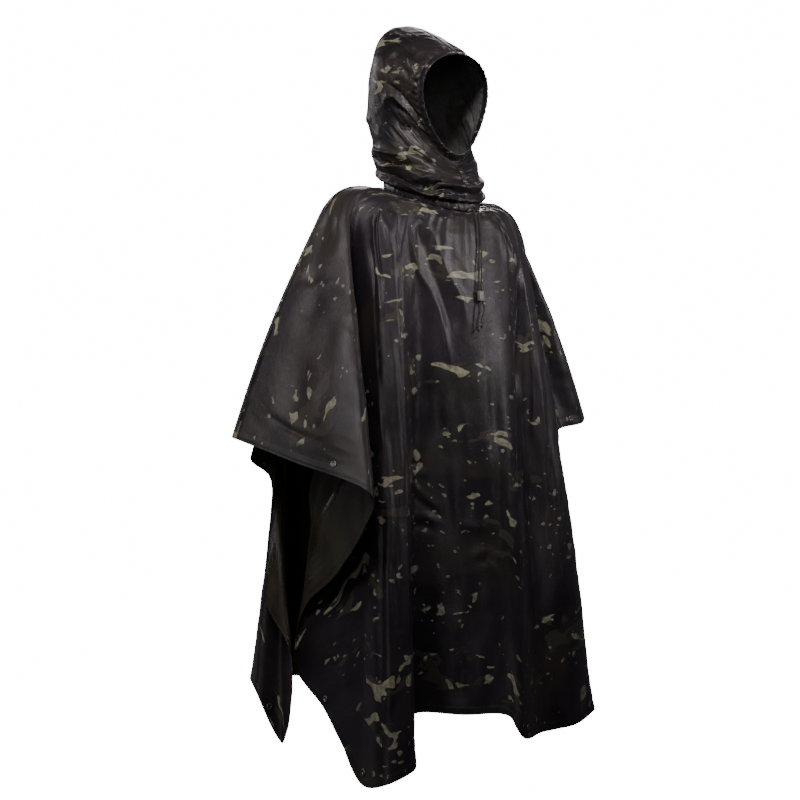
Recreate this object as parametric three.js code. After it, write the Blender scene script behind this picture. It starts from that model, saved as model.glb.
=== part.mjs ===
import * as THREE from 'three';

// A hooded rain poncho in its worn pose, with no wearer. Millimetres, +Z up. The wearer would face -Y,
// so the wearer's right arm is at -X. The origin is the middle of the neck at the height of the shoulders.

const WALL = 1.6;
const SEAM_GAP = 0.3;
const SIT_GAP = 0.45;

// The neck ring is an ellipse that drops towards the front.
const NECK = {
  halfWidth: 88, halfDepth: 98, middleZ: 10, tilt: 0.32, casingHeight: 14, casingWall: 4, capeDrop: 1.4, hoodLift: 1.2,
};

// The yoke is where the cloth turns from lying on the shoulders to hanging.
const YOKE = {
  middleX: -16, halfWidth: 219, frontDepth: 126, backDepth: 134, rightZ: 30, leftZ: 4, frontZ: -46, backZ: 2,
  rightBend: 98, leftBend: 104,
};

const GATHERS = { count: 24, height: 2.4, from: 7, peakAt: 16 };
const DEGREES_PER_COLUMN = 5;
const LEAST_COLUMNS = 3;
const RAY_ROWS = [0, 0.06, 0.13, 0.19, 0.25, 0.33, 0.44, 0.57, 0.71, 0.85, 1];
const LIE_SHARE = 0.1;
const BEND_SHARE = 0.25;

const table = (columns, rows) =>
  rows.map((row) => Object.fromEntries(columns.map((column, i) => [column, row[i]])));

// One row for each fold line, from the shoulder to the cloth's edge. Yoke is the angle round the shoulders
// where it starts, x, y and z where it ends, and swayX and swayY how far its middle stands off a straight line.
const LINE_COLUMNS = ['name', 'yoke', 'x', 'y', 'z', 'swayX', 'swayY'];

const FRONT_LINES = table(LINE_COLUMNS, [
  ['right arm ridge', 0, -460, 0, -450, -12, 0],
  ['right flap middle', 4.5, -417, -128, -488, -12, -6],
  ['right flap ridge', 9, -362, -278, -538, 0, 0],
  ['right return top', 13, -332, -218, -600, 0, 0],
  ['right return middle', 17, -302, -90, -700, 0, 0],
  ['right return snap', 21, -281, 38, -780, 0, 0],
  ['right side joint', 25, -271, 78, -888, 0, 0],
  ['right side lower snap', 29, -278, -22, -948, 0, 0],
  ['right side foot', 31.5, -287, -92, -1000, 0, 0],
  ['right front corner', 34, -294, -154, -1056, 0, 0],
  ['column outside', 38, -306, -236, -1043, 0, 0],
  ['column inside', 47, -252, -250, -1022, 0, 0],
  ['right valley', 60, -125, -96, -972, 0, 0],
  ['panel right', 76, -62, -168, -970, 0, -6],
  ['panel left', 98, 0, -225, -972, 0, -8],
  ['middle ridge', 120, 11, -247, -1008, 0, -8],
  ['left valley', 131, 98, -214, -1018, 16, 26],
  ['left panel', 143, 194, -208, -1018, -14, -26],
  ['left ridge', 152, 266, -181, -1006, 7, -8],
  ['left front corner', 157, 290, -84, -1030, 0, 0],
  ['left side lower snap', 161, 282, -6, -942, 0, 0],
  ['left side joint', 165, 268, 70, -852, 0, 0],
  ['left return snap', 168, 277, 40, -762, 0, 0],
  ['left return middle', 171, 287, -20, -662, 0, 0],
  ['left return top', 173.5, 272, -84, -560, 0, 0],
  ['left flap ridge', 175.5, 252, -98, -476, 6, 0],
  ['left flap valley', 177, 316, -38, -457, 8, 12],
  ['left flap roll', 178.5, 372, -42, -448, 9, -6],
  ['left arm ridge', 180, 426, 0, -438, 11, 0],
]);

const BACK_LINES = table(LINE_COLUMNS, [
  ['right arm ridge', 0, -460, 0, -450, -12, 0],
  ['right flap middle', 5, -388, 40, -464, -10, 4],
  ['right flap ridge', 9.5, -332, 128, -507, 0, 0],
  ['right edge top', 13, -291, 130, -538, 0, 6],
  ['right edge upper', 17, -286, 136, -630, 0, 22],
  ['right edge middle', 22, -302, 132, -770, 6, 40],
  ['right side joint', 28, -287, 66, -866, 10, 82],
  ['right back corner', 34, -270, 120, -1045, 14, 72],
  ['right back fold', 40, -308, 156, -944, 21, 61],
  ['back pleat 1', 47, -240, 256, -940, 12, 24],
  ['back valley 1', 54, -188, 134, -930, 0, 20],
  ['back pleat 2', 62, -146, 272, -940, 0, 0],
  ['back valley 2', 70, -92, 148, -958, 0, 14],
  ['back pleat 3', 78, -52, 284, -966, 0, 0],
  ['back valley 3', 87, -6, 152, -980, 0, 14],
  ['back pleat 4', 96, 44, 286, -974, 0, 0],
  ['back valley 4', 105, 92, 150, -984, 0, 14],
  ['back pleat 5', 114, 140, 276, -974, 0, 0],
  ['back valley 5', 123, 186, 138, -986, 0, 20],
  ['back pleat 6', 132, 240, 258, -978, 0, 6],
  ['left back fold', 141, 296, 196, -985, -24, 30],
  ['left back corner', 148, 316, 126, -1034, -14, 50],
  ['left side joint', 154, 286, 84, -852, -8, 66],
  ['left edge middle', 160, 312, 122, -750, -6, 40],
  ['left edge top', 166, 300, 134, -600, 0, 20],
  ['left flap ridge', 171, 322, 118, -504, 0, 0],
  ['left flap middle', 175.5, 374, 46, -456, 10, 4],
  ['left arm ridge', 180, 426, 0, -438, 11, 0],
]);

// The hood is a bent tube of rings from the neck to the face. Each ring runs through a front point and a
// crown point of the middle plane, with its half-width, how far its sides bow back, and how egg-shaped it is.
const HOOD_RINGS = table(['name', 'frontY', 'frontZ', 'crownY', 'crownZ', 'halfWidth', 'bow', 'egg'], [
  ['neck seam', -98, -21.4, 98, 41.4, 88, 0, 0],
  ['neck slouch', -107, -10, 120, 58, 100, -3, 0],
  ['neck tuck', -101, 4, 122, 78, 96, 0, 0],
  ['cowl roll', -108, 17, 136, 100, 102, -5, 0],
  ['cowl tuck', -97, 30, 139, 136, 97, 0, 0.02],
  ['cheek roll', -92, 42, 142, 190, 101, 0, 0.06],
  ['ear', -84, 52, 138, 246, 99, 3, 0.1],
  ['back of crown', -78, 57, 121, 305, 98, 5, 0.16],
  ['crown', -74, 61, 86, 350, 97, 8, 0.22],
  ['brow roll', -72, 65, 22, 334, 92, 11, 0.28],
  ['brow', -70, 69, -33, 305, 85, 14, 0.32],
  ['face seam', -69, 72, -76, 276, 79, 15, 0.34],
]);
const HOOD = { ringSteps: 2, columns: 14, casingGap: 1.4, casingReach: 12, casingWall: 3 };

const RUFFLE = { waves: 27, depth: 1.6, pointsPerWave: 3 };

// The drawcord's two strands leave the neck casing in front, run through the lock and end in knots.
const CORD = { radius: 1.5, sides: 6, steps: 34 };
const STRANDS = [
  {
    side: 'right',
    knot: [-17, -156.6, -257.4],
    route: [
      [10, -102.4, -22], [10, -107.4, -23], [9.5, -116, -32], [8, -121.5, -46], [6, -128.8, -70],
      [3, -135.8, -104], [-3, -142.6, -148], [-6.1, -147, -182], [-6.1, -148.6, -193], [-6.1, -150.1, -204],
      [-11, -152.4, -216], [-14.5, -153.4, -231], [-17, -155, -244], [-17, -156.2, -252.6],
    ],
  },
  {
    side: 'left',
    knot: [-8.5, -156.8, -249.8],
    route: [
      [21, -101.4, -21.6], [21, -106.6, -22.6], [20, -115.6, -32], [18, -121, -46], [14, -128.4, -70],
      [9, -135.8, -104], [3, -142.6, -148], [-0.9, -147, -182], [-0.9, -148.6, -193], [-0.9, -150.1, -204],
      [1.5, -152.4, -215], [-2, -153.6, -227], [-8, -155.2, -238], [-8.5, -156.4, -245],
    ],
  },
];
const KNOT = { radius: 3.4, stretch: 1.25 };
const LOCK = {
  at: [-3.5, -148.6, -193], lean: 8, width: 14, depth: 7.5, height: 19, corner: 2.6, hole: 2.05, holeSpread: 2.6,
};

// Snaps and eyelets sit on a panel's outer face, named by fold line and by how far along it they are.
const SNAP = { radius: 6, height: 2, cap: 3.4, hole: 0 };
const EYELET = { radius: 6.5, height: 1.6, cap: 5.2, hole: 3.2 };
const FITTING_COLUMNS = ['name', 'panel', 'line', 'along', 'fitting'];
const FITTINGS = table(FITTING_COLUMNS, [
  ['snap_sleeve_right', 'front', 1.45, 0.968, SNAP],
  ['snap_flap_right', 'front', 2.75, 0.972, SNAP],
  ['snap_side_right_upper', 'front', 5.05, 0.975, SNAP],
  ['snap_side_right_lower', 'front', 7.1, 0.982, SNAP],
  ['grommet_front_right', 'front', 9.2, 0.982, EYELET],
  ['grommet_front_middle', 'front', 15.3, 0.982, EYELET],
  ['grommet_front_left', 'front', 18.85, 0.978, EYELET],
  ['snap_side_left_lower', 'front', 20.05, 0.975, SNAP],
  ['snap_side_left_upper', 'front', 22.1, 0.975, SNAP],
  ['snap_flap_left', 'front', 24.2, 0.972, SNAP],
  ['snap_sleeve_left', 'front', 26.6, 0.968, SNAP],
  ['snap_back_right_upper', 'back', 2.6, 0.972, SNAP],
  ['snap_back_right_lower', 'back', 5.1, 0.975, SNAP],
  ['grommet_back_right', 'back', 7.5, 0.978, EYELET],
  ['grommet_back_middle', 'back', 14.5, 0.978, EYELET],
  ['grommet_back_left', 'back', 20.6, 0.978, EYELET],
  ['snap_back_left_lower', 'back', 23.1, 0.975, SNAP],
  ['snap_back_left_upper', 'back', 24.6, 0.972, SNAP],
]);
const FITTING_SEGMENTS = 14;
const SEAT_RAYS = 24;
const SEAT_FROM = 8;

const vec = (x, y, z) => new THREE.Vector3(x, y, z);
const radians = THREE.MathUtils.degToRad;

const CLOTH = new THREE.MeshStandardMaterial({ color: 0x1c1a1e, roughness: 0.42, metalness: 0 });
const TRIM = new THREE.MeshStandardMaterial({ color: 0x151417, roughness: 0.6, metalness: 0 });
const CORD_FINISH = new THREE.MeshStandardMaterial({ color: 0x121212, roughness: 0.8, metalness: 0 });
const PLASTIC = new THREE.MeshStandardMaterial({ color: 0x5b5a50, roughness: 0.5, metalness: 0 });
const METAL = new THREE.MeshStandardMaterial({ color: 0x2b2b2d, roughness: 0.35, metalness: 0.9 });

// A triangle mesh from points and faces, turned the right way out.
function meshOf(name, points, faces, material) {
  let volume = 0;
  for (const [a, b, c] of faces) {
    volume += points[a].dot(points[b].clone().cross(points[c]));
  }
  const turned = volume < 0 ? faces.map(([a, b, c]) => [a, c, b]) : faces;
  const geometry = new THREE.BufferGeometry();
  geometry.setAttribute('position', new THREE.Float32BufferAttribute(points.flatMap((p) => p.toArray()), 3));
  geometry.setIndex(turned.flat());
  geometry.computeVertexNormals();
  const mesh = new THREE.Mesh(geometry, material);
  mesh.name = name;
  return mesh;
}

// The unit normal at each point of a grid, from its neighbours along both directions.
function gridNormals(grid, closed) {
  const rows = grid.length;
  const columns = grid[0].length;
  return grid.map((row, i) => row.map((_, j) => {
    const left = closed ? (j + columns - 1) % columns : Math.max(j - 1, 0);
    const right = closed ? (j + 1) % columns : Math.min(j + 1, columns - 1);
    const across = grid[i][right].clone().sub(grid[i][left]);
    const down = grid[Math.min(i + 1, rows - 1)][j].clone().sub(grid[Math.max(i - 1, 0)][j]);
    return down.cross(across).normalize();
  }));
}

// A closed wall of one thickness round a grid of middle points. Faces and rims share their points.
function wallSolid(name, grid, normals, thickness, material, closed = false) {
  const rows = grid.length;
  const columns = grid[0].length;
  const points = [];
  for (const side of [0.5, -0.5]) {
    grid.forEach((row, i) => row.forEach((p, j) => {
      points.push(p.clone().addScaledVector(normals[i][j], side * thickness));
    }));
  }
  const at = (layer, i, j) => layer * rows * columns + i * columns + (j % columns);
  const faces = [];
  const quad = (a, b, c, d) => faces.push([a, b, c], [a, c, d]);
  const spans = closed ? columns : columns - 1;
  for (let i = 0; i < rows - 1; i += 1) {
    for (let j = 0; j < spans; j += 1) {
      quad(at(0, i, j), at(0, i + 1, j), at(0, i + 1, j + 1), at(0, i, j + 1));
      quad(at(1, i, j), at(1, i, j + 1), at(1, i + 1, j + 1), at(1, i + 1, j));
    }
  }
  for (let j = 0; j < spans; j += 1) {
    quad(at(0, 0, j), at(0, 0, j + 1), at(1, 0, j + 1), at(1, 0, j));
    quad(at(0, rows - 1, j + 1), at(0, rows - 1, j), at(1, rows - 1, j), at(1, rows - 1, j + 1));
  }
  if (!closed) {
    for (let i = 0; i < rows - 1; i += 1) {
      quad(at(0, i + 1, 0), at(0, i, 0), at(1, i, 0), at(1, i + 1, 0));
      quad(at(0, i, columns - 1), at(0, i + 1, columns - 1), at(1, i + 1, columns - 1), at(1, i, columns - 1));
    }
  }
  return meshOf(name, points, faces, material);
}

// A point of the neck ring at an angle from the right arm, towards the front or the back.
function neckPoint(degrees, facing, drop) {
  const angle = radians(degrees);
  const y = facing * NECK.halfDepth * Math.sin(angle);
  return vec(-NECK.halfWidth * Math.cos(angle), y, NECK.middleZ + NECK.tilt * y - drop);
}

function yokePoint(degrees, facing) {
  const angle = radians(degrees);
  const depth = facing < 0 ? YOKE.frontDepth : YOKE.backDepth;
  const low = facing < 0 ? YOKE.frontZ : YOKE.backZ;
  const inward = Math.sin(angle) ** 2;
  const side = THREE.MathUtils.lerp(YOKE.rightZ, YOKE.leftZ, degrees / 180);
  const x = YOKE.middleX - YOKE.halfWidth * Math.cos(angle);
  return vec(x, facing * depth * Math.sin(angle), THREE.MathUtils.lerp(side, low, inward));
}

// A fold line: it lies on the shoulder, turns down at the yoke and hangs to its end.
function foldLine(line, facing) {
  const start = neckPoint(line.yoke, facing, NECK.casingHeight / 2 + NECK.capeDrop + WALL / 2);
  const knee = yokePoint(line.yoke, facing);
  const end = vec(line.x, line.y, line.z);
  const bend = THREE.MathUtils.lerp(YOKE.rightBend, YOKE.leftBend, line.yoke / 180);
  const before = knee.clone().lerp(start, Math.min(0.7, bend / knee.distanceTo(start)));
  const after = knee.clone().lerp(end, bend / knee.distanceTo(end));
  const turn = new THREE.QuadraticBezierCurve3(before, knee, after);
  return (w) => {
    if (w <= LIE_SHARE) {
      return start.clone().lerp(before, w / LIE_SHARE);
    }
    if (w <= BEND_SHARE) {
      return turn.getPoint((w - LIE_SHARE) / (BEND_SHARE - LIE_SHARE));
    }
    const along = (w - BEND_SHARE) / (1 - BEND_SHARE);
    const sway = Math.sin(Math.PI * along);
    return after.clone().lerp(end, along).add(vec(line.swayX * sway, line.swayY * sway, 0));
  };
}

// The panel's middle surface: a smooth curve across the fold lines, at a share of their length.
function panelSurface(lines, facing) {
  const folds = lines.map((line) => foldLine(line, facing));
  const curves = new Map();
  const curveAt = (w) => {
    if (!curves.has(w)) {
      curves.set(w, new THREE.CatmullRomCurve3(folds.map((fold) => fold(w)), false, 'centripetal'));
    }
    return curves.get(w);
  };
  return (k, w) => curveAt(w).getPoint(k / (lines.length - 1));
}

// The column positions, in fold lines: more of them where two lines start far apart.
function columnPlaces(lines) {
  const places = [0];
  for (let k = 1; k < lines.length; k += 1) {
    const wide = lines[k].yoke - lines[k - 1].yoke;
    const steps = Math.max(LEAST_COLUMNS, Math.ceil(wide / DEGREES_PER_COLUMN));
    for (let step = 1; step <= steps; step += 1) {
      places.push(k - 1 + step / steps);
    }
  }
  return places;
}

function yokeAngle(lines, k) {
  const low = Math.min(Math.floor(k), lines.length - 2);
  return THREE.MathUtils.lerp(lines[low].yoke, lines[low + 1].yoke, k - low);
}

function gatherShare(distance) {
  const share = Math.max(0, distance - GATHERS.from) / GATHERS.peakAt;
  return share * Math.exp(1 - share);
}

// The seam along the arm is mitred: both panels end on the plane that stands on the ridge.
function ridgeNormals(column) {
  return column.map((p, i) => {
    const next = column[Math.min(i + 1, column.length - 1)];
    const last = column[Math.max(i - 1, 0)];
    const run = next.clone().sub(last);
    const normal = vec(-run.z, 0, run.x).normalize();
    return normal.z < 0 ? normal.negate() : normal;
  });
}

function panel(name, lines, facing) {
  const surface = panelSurface(lines, facing);
  const places = columnPlaces(lines);
  const bare = RAY_ROWS.map((w) => places.map((k) => surface(k, w)));
  const bareNormals = gridNormals(bare, false);
  const outward = facing < 0 ? -1 : 1;
  const grid = bare.map((row, i) => row.map((p, j) => {
    const turn = yokeAngle(lines, places[j]) / 360;
    const lift = GATHERS.height * gatherShare(p.distanceTo(bare[0][j])) * Math.sin(2 * Math.PI * GATHERS.count * turn);
    const edge = Math.min(j, places.length - 1 - j) === 0 ? 0 : 1;
    return p.clone().addScaledVector(bareNormals[i][j], outward * lift * edge);
  }));
  const normals = gridNormals(grid, false).map((row) => row.map((n) => n.multiplyScalar(outward)));
  for (const j of [0, places.length - 1]) {
    const column = grid.map((row) => row[j]);
    ridgeNormals(column).forEach((normal, i) => {
      normals[i][j] = normal;
      grid[i][j] = grid[i][j].clone().add(vec(0, facing * SEAM_GAP / 2, 0));
    });
  }
  return wallSolid(name, grid, normals, WALL, CLOTH);
}

// A point of the hood at a ring position v and an angle round it, 0 in front and pi at the back or crown.
function hoodCurves() {
  const spline = (pick) => {
    const curve = new THREE.CatmullRomCurve3(HOOD_RINGS.map(pick), false, 'centripetal');
    return (v) => curve.getPoint(v / (HOOD_RINGS.length - 1));
  };
  return {
    front: spline((ring) => vec(0, ring.frontY, ring.frontZ)),
    crown: spline((ring) => vec(0, ring.crownY, ring.crownZ)),
    shape: spline((ring) => vec(ring.halfWidth, ring.bow, ring.egg * 100)),
  };
}
const hoodCurve = hoodCurves();

function hoodPoint(v, angle, grow = 0) {
  const front = hoodCurve.front(v);
  const crown = hoodCurve.crown(v);
  const shape = hoodCurve.shape(v);
  const middle = front.clone().add(crown).multiplyScalar(0.5);
  const reach = front.clone().sub(crown).multiplyScalar(0.5);
  const length = reach.length();
  reach.setLength(length + grow);
  const back = vec(0, -reach.z, reach.y).normalize();
  const wide = (shape.x + grow) * Math.sin(angle) * (1 - (shape.z / 100) * Math.cos(angle));
  return middle
    .addScaledVector(reach, Math.cos(angle))
    .addScaledVector(back, shape.y * Math.sin(angle) ** 2)
    .add(vec(wide, 0, 0));
}

function hoodSide(name, side) {
  const rings = (HOOD_RINGS.length - 1) * HOOD.ringSteps;
  const lift = NECK.casingHeight / 2 + NECK.hoodLift;
  const grid = [];
  for (let i = 0; i <= rings; i += 1) {
    const v = i / HOOD.ringSteps;
    const row = [];
    for (let j = 0; j <= HOOD.columns; j += 1) {
      const angle = (Math.PI * j) / HOOD.columns;
      const p = hoodPoint(v, side * angle);
      row.push(p.add(vec(0, 0, Math.max(0, 1 - v) * lift)));
    }
    grid.push(row);
  }
  const normals = gridNormals(grid, false).map((row) => row.map((n) => n.multiplyScalar(side)));
  for (const j of [0, HOOD.columns]) {
    grid.forEach((row, i) => {
      normals[i][j].setX(0).normalize();
      row[j].x = side * SEAM_GAP / 2;
    });
  }
  return wallSolid(name, grid, normals, WALL, CLOTH);
}

const ruffle = (turn) => RUFFLE.depth * Math.sin(turn * RUFFLE.waves);

// The neck casing stands on the neck ring, between the cape's edge and the hood's.
function neckCasing() {
  const columns = RUFFLE.waves * RUFFLE.pointsPerWave;
  const levels = [-0.5, 0, 0.5];
  const grid = levels.map((level) => {
    const row = [];
    for (let j = 0; j < columns; j += 1) {
      const turn = (2 * Math.PI * j) / columns;
      const swell = 1 - Math.abs(level) * 2;
      const grow = 1 + (ruffle(turn) + swell * 1.5) / NECK.halfDepth;
      const y = -NECK.halfDepth * Math.cos(turn);
      row.push(vec(NECK.halfWidth * Math.sin(turn) * grow, y * grow, NECK.middleZ + NECK.tilt * y + level * NECK.casingHeight));
    }
    return row;
  });
  return wallSolid('neck_casing', grid, gridNormals(grid, true), NECK.casingWall, TRIM, true);
}

// The face casing carries on from the hood's last ring, in the direction in which the hood ends.
function faceCasing() {
  const columns = RUFFLE.waves * RUFFLE.pointsPerWave;
  const last = HOOD_RINGS.length - 1;
  const grid = [0, 1].map((share) => {
    const row = [];
    for (let j = 0; j < columns; j += 1) {
      const angle = (2 * Math.PI * j) / columns;
      const rim = hoodPoint(last, angle);
      const run = rim.clone().sub(hoodPoint(last - 0.25, angle)).normalize();
      const forward = run.lerp(vec(0, -1, 0), 0.55).normalize();
      const far = HOOD.casingGap + share * HOOD.casingReach;
      const wave = ruffle(angle) * share;
      const outward = rim.clone().sub(hoodPoint(last, angle, -1)).normalize();
      row.push(rim.addScaledVector(forward, far).addScaledVector(outward, wave));
    }
    return row;
  });
  return wallSolid('face_casing', grid, gridNormals(grid, true), HOOD.casingWall, TRIM, true);
}

function strand({ side, route }) {
  const path = new THREE.CatmullRomCurve3(route.map((p) => vec(...p)), false, 'centripetal');
  const circle = new THREE.Shape();
  for (let i = 0; i < CORD.sides; i += 1) {
    const turn = (2 * Math.PI * i) / CORD.sides;
    const x = CORD.radius * Math.cos(turn);
    const y = CORD.radius * Math.sin(turn);
    if (i === 0) {
      circle.moveTo(x, y);
    } else {
      circle.lineTo(x, y);
    }
  }
  circle.closePath();
  const geometry = new THREE.ExtrudeGeometry(circle, { steps: CORD.steps, extrudePath: path, bevelEnabled: false });
  const mesh = new THREE.Mesh(geometry, CORD_FINISH);
  mesh.name = `drawcord_${side}`;
  return mesh;
}

function knot({ side, knot: at }) {
  const geometry = new THREE.SphereGeometry(KNOT.radius, 10, 6);
  const mesh = new THREE.Mesh(geometry, CORD_FINISH);
  mesh.name = `cord_knot_${side}`;
  mesh.position.set(...at);
  mesh.scale.set(1, 1, KNOT.stretch);
  return mesh;
}

// The lock is a flat plastic barrel with two holes that the strands run through.
function cordLock() {
  const { width, depth, height, corner, hole, holeSpread } = LOCK;
  const outline = new THREE.Shape();
  const x = width / 2;
  const y = depth / 2;
  outline.moveTo(-x + corner, -y);
  outline.lineTo(x - corner, -y);
  outline.quadraticCurveTo(x, -y, x, -y + corner);
  outline.lineTo(x, y - corner);
  outline.quadraticCurveTo(x, y, x - corner, y);
  outline.lineTo(-x + corner, y);
  outline.quadraticCurveTo(-x, y, -x, y - corner);
  outline.lineTo(-x, -y + corner);
  outline.quadraticCurveTo(-x, -y, -x + corner, -y);
  for (const place of [-1, 1]) {
    const bore = new THREE.Path();
    bore.absarc(place * holeSpread, 0, hole, 0, 2 * Math.PI, true);
    outline.holes.push(bore);
  }
  const shape = { depth: height, bevelEnabled: false, curveSegments: 5 };
  const geometry = new THREE.ExtrudeGeometry(outline, shape).translate(0, 0, -height / 2);
  const mesh = new THREE.Mesh(geometry, PLASTIC);
  mesh.name = 'cord_lock';
  mesh.position.set(...LOCK.at);
  mesh.rotation.x = radians(-LOCK.lean);
  return mesh;
}

// A snap is a domed button, and an eyelet a ring, turned round its own axis.
function fittingProfile({ radius, height, cap, hole }) {
  const inner = hole > 0 ? hole : 0;
  const profile = [[inner, 0], [radius, 0], [radius, height * 0.45], [cap, height], [inner, height]];
  return [...profile, profile[0]].map(([r, h]) => new THREE.Vector2(r, h));
}

// It is lowered along the cloth's normal until it would touch, then kept SIT_GAP off.
function placeFitting(panels, { name, panel: panelName, line, along, fitting }) {
  const { surface, facing, mesh: cloth } = panels[panelName];
  const step = 0.01;
  const p = surface(line, along);
  const across = surface(line + step, along).sub(surface(line - step, along)).normalize();
  const down = surface(line, along + step).sub(surface(line, along - step));
  const normal = down.cross(across).normalize().multiplyScalar(-facing);
  const sideways = normal.clone().cross(across);
  let seat = 0;
  for (let i = 0; i < SEAT_RAYS; i += 1) {
    const turn = (4 * Math.PI * i) / SEAT_RAYS;
    const reach = fitting.radius * (i < SEAT_RAYS / 2 ? 1 : 0.55);
    const from = p.clone()
      .addScaledVector(across, reach * Math.cos(turn))
      .addScaledVector(sideways, reach * Math.sin(turn))
      .addScaledVector(normal, SEAT_FROM);
    const hits = new THREE.Raycaster(from, normal.clone().negate(), 0, 2 * SEAT_FROM).intersectObject(cloth);
    seat = Math.max(seat, ...hits.map((hit) => SEAT_FROM - hit.distance));
  }
  const mesh = new THREE.Mesh(new THREE.LatheGeometry(fittingProfile(fitting), FITTING_SEGMENTS), METAL);
  mesh.name = name;
  mesh.quaternion.setFromUnitVectors(vec(0, 1, 0), normal);
  mesh.position.copy(p).addScaledVector(normal, seat + SIT_GAP);
  return mesh;
}

const poncho = new THREE.Group();
const panels = {
  front: { surface: panelSurface(FRONT_LINES, -1), facing: -1, mesh: panel('body_front', FRONT_LINES, -1) },
  back: { surface: panelSurface(BACK_LINES, 1), facing: 1, mesh: panel('body_back', BACK_LINES, 1) },
};
poncho.add(panels.front.mesh, panels.back.mesh);
poncho.add(hoodSide('hood_right', -1), hoodSide('hood_left', 1));
poncho.add(neckCasing(), faceCasing());
STRANDS.forEach((cord) => poncho.add(strand(cord), knot(cord)));
poncho.add(cordLock());
FITTINGS.forEach((row) => poncho.add(placeFitting(panels, row)));

export default poncho;
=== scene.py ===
# %% [markdown]
# # A hooded rain poncho in its worn pose
# The garment is two large panels of coated nylon, joined along the shoulders and arms, a hood of two side
# panels, two gathered casings, a drawcord with its lock, and snaps and eyelets along the hems. The packed
# model gives the frame, in metres: the wearer would face -Y, and the origin is the middle of the neck.

# %% Load the frame
import math

import bmesh
import bpy
from mathutils import Matrix, Vector, noise


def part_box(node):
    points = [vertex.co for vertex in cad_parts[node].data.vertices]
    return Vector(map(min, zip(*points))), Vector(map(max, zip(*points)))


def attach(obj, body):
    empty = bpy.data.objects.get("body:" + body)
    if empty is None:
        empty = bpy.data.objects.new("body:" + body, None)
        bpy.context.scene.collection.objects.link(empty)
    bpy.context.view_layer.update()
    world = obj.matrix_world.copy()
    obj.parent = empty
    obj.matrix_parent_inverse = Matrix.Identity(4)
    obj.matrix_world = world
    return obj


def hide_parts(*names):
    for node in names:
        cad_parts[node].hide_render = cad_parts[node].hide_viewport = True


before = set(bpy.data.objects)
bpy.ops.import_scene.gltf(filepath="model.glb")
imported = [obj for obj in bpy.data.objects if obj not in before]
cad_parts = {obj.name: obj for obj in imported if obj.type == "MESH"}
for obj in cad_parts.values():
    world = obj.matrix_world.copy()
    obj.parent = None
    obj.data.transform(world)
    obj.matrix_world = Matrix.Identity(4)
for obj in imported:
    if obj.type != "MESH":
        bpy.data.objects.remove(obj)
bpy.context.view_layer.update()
BODY = "root"
MM = 0.001

# %% [markdown]
# ## Camera
# The photograph looks at the right front of the garment, from a little above its hem's middle. The camera
# stands level, and a small shift puts the garment where the photograph has it.

# %% Camera
CAMERA_AT = (-1.928, -2.298, -0.30)
LOOKS_ALONG = Vector((0.643, 0.766, 0.0))
LENS = 68.85
SHIFT = (-0.04, -0.05875)

camera_data = bpy.data.cameras.new("camera")
camera_data.lens = LENS
camera_data.sensor_width = 36.0
camera_data.shift_x, camera_data.shift_y = SHIFT
camera = bpy.data.objects.new("camera", camera_data)
camera.location = CAMERA_AT
camera.rotation_euler = LOOKS_ALONG.to_track_quat("-Z", "Y").to_euler()
bpy.context.scene.collection.objects.link(camera)
bpy.context.scene.camera = camera
print("camera at", CAMERA_AT)

# %% [markdown]
# ## Floor and light
# Dark coated nylon shows its form only in what it reflects. The studio is therefore bright to look at and dim
# to be lit by: the pale floor and background shine towards the camera alone, and soft boxes all round the
# garment, each with a narrow spread, lay long soft streaks down the folds.

# %% Material and object helpers


def principled(name, color, roughness=0.5, **sockets):
    material = bpy.data.materials.new(name)
    material.use_nodes = True
    shader = material.node_tree.nodes["Principled BSDF"]
    shader.inputs["Base Color"].default_value = (*color, 1.0)
    shader.inputs["Roughness"].default_value = roughness
    for socket, value in sockets.items():
        shader.inputs[socket.replace("_", " ")].default_value = value
    return material


def new_object(name, bm, *materials):
    """A mesh object from a bmesh, smooth shaded, at the origin."""
    mesh = bpy.data.meshes.new(name)
    bm.to_mesh(mesh)
    bm.free()
    for polygon in mesh.polygons:
        polygon.use_smooth = True
    for material in materials:
        mesh.materials.append(material)
    piece = bpy.data.objects.new(name, mesh)
    bpy.context.scene.collection.objects.link(piece)
    return piece


# %% Floor
FLOOR_Z = -1.46
FLOOR_RADIUS = 400.0
BACKGROUND = 16.0

floor_bm = bmesh.new()
bmesh.ops.create_circle(floor_bm, cap_ends=True, segments=64, radius=FLOOR_RADIUS)
bmesh.ops.translate(floor_bm, verts=floor_bm.verts, vec=(0, 0, FLOOR_Z))
floor_light = {"Emission_Color": (1, 1, 1, 1), "Emission_Strength": BACKGROUND}
floor_finish = principled("studio_floor", (0.85, 0.85, 0.85), 0.9, **floor_light)
floor = new_object("studio_floor", floor_bm, floor_finish)
floor.visible_diffuse = False
floor.visible_glossy = False

# %% Background
ROOM_LIGHT = (0.95, 0.90, 1.0)
ROOM_STRENGTH = 0.05

world = bpy.data.worlds.new("studio")
world.use_nodes = True
world_tree = world.node_tree
room = world_tree.nodes["Background"]
room.inputs["Color"].default_value = (*ROOM_LIGHT, 1.0)
room.inputs["Strength"].default_value = ROOM_STRENGTH
backdrop = world_tree.nodes.new("ShaderNodeBackground")
backdrop.inputs["Color"].default_value = (1, 1, 1, 1)
backdrop.inputs["Strength"].default_value = BACKGROUND
either = world_tree.nodes.new("ShaderNodeMixShader")
ray = world_tree.nodes.new("ShaderNodeLightPath")
world_tree.links.new(ray.outputs["Is Camera Ray"], either.inputs[0])
world_tree.links.new(room.outputs[0], either.inputs[1])
world_tree.links.new(backdrop.outputs[0], either.inputs[2])
world_tree.links.new(either.outputs[0], world_tree.nodes["World Output"].inputs["Surface"])
bpy.context.scene.world = world

# %% Soft boxes
LIGHT_TINT = (1.0, 0.93, 0.955)
LIGHT_SPREAD = math.radians(34)

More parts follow.
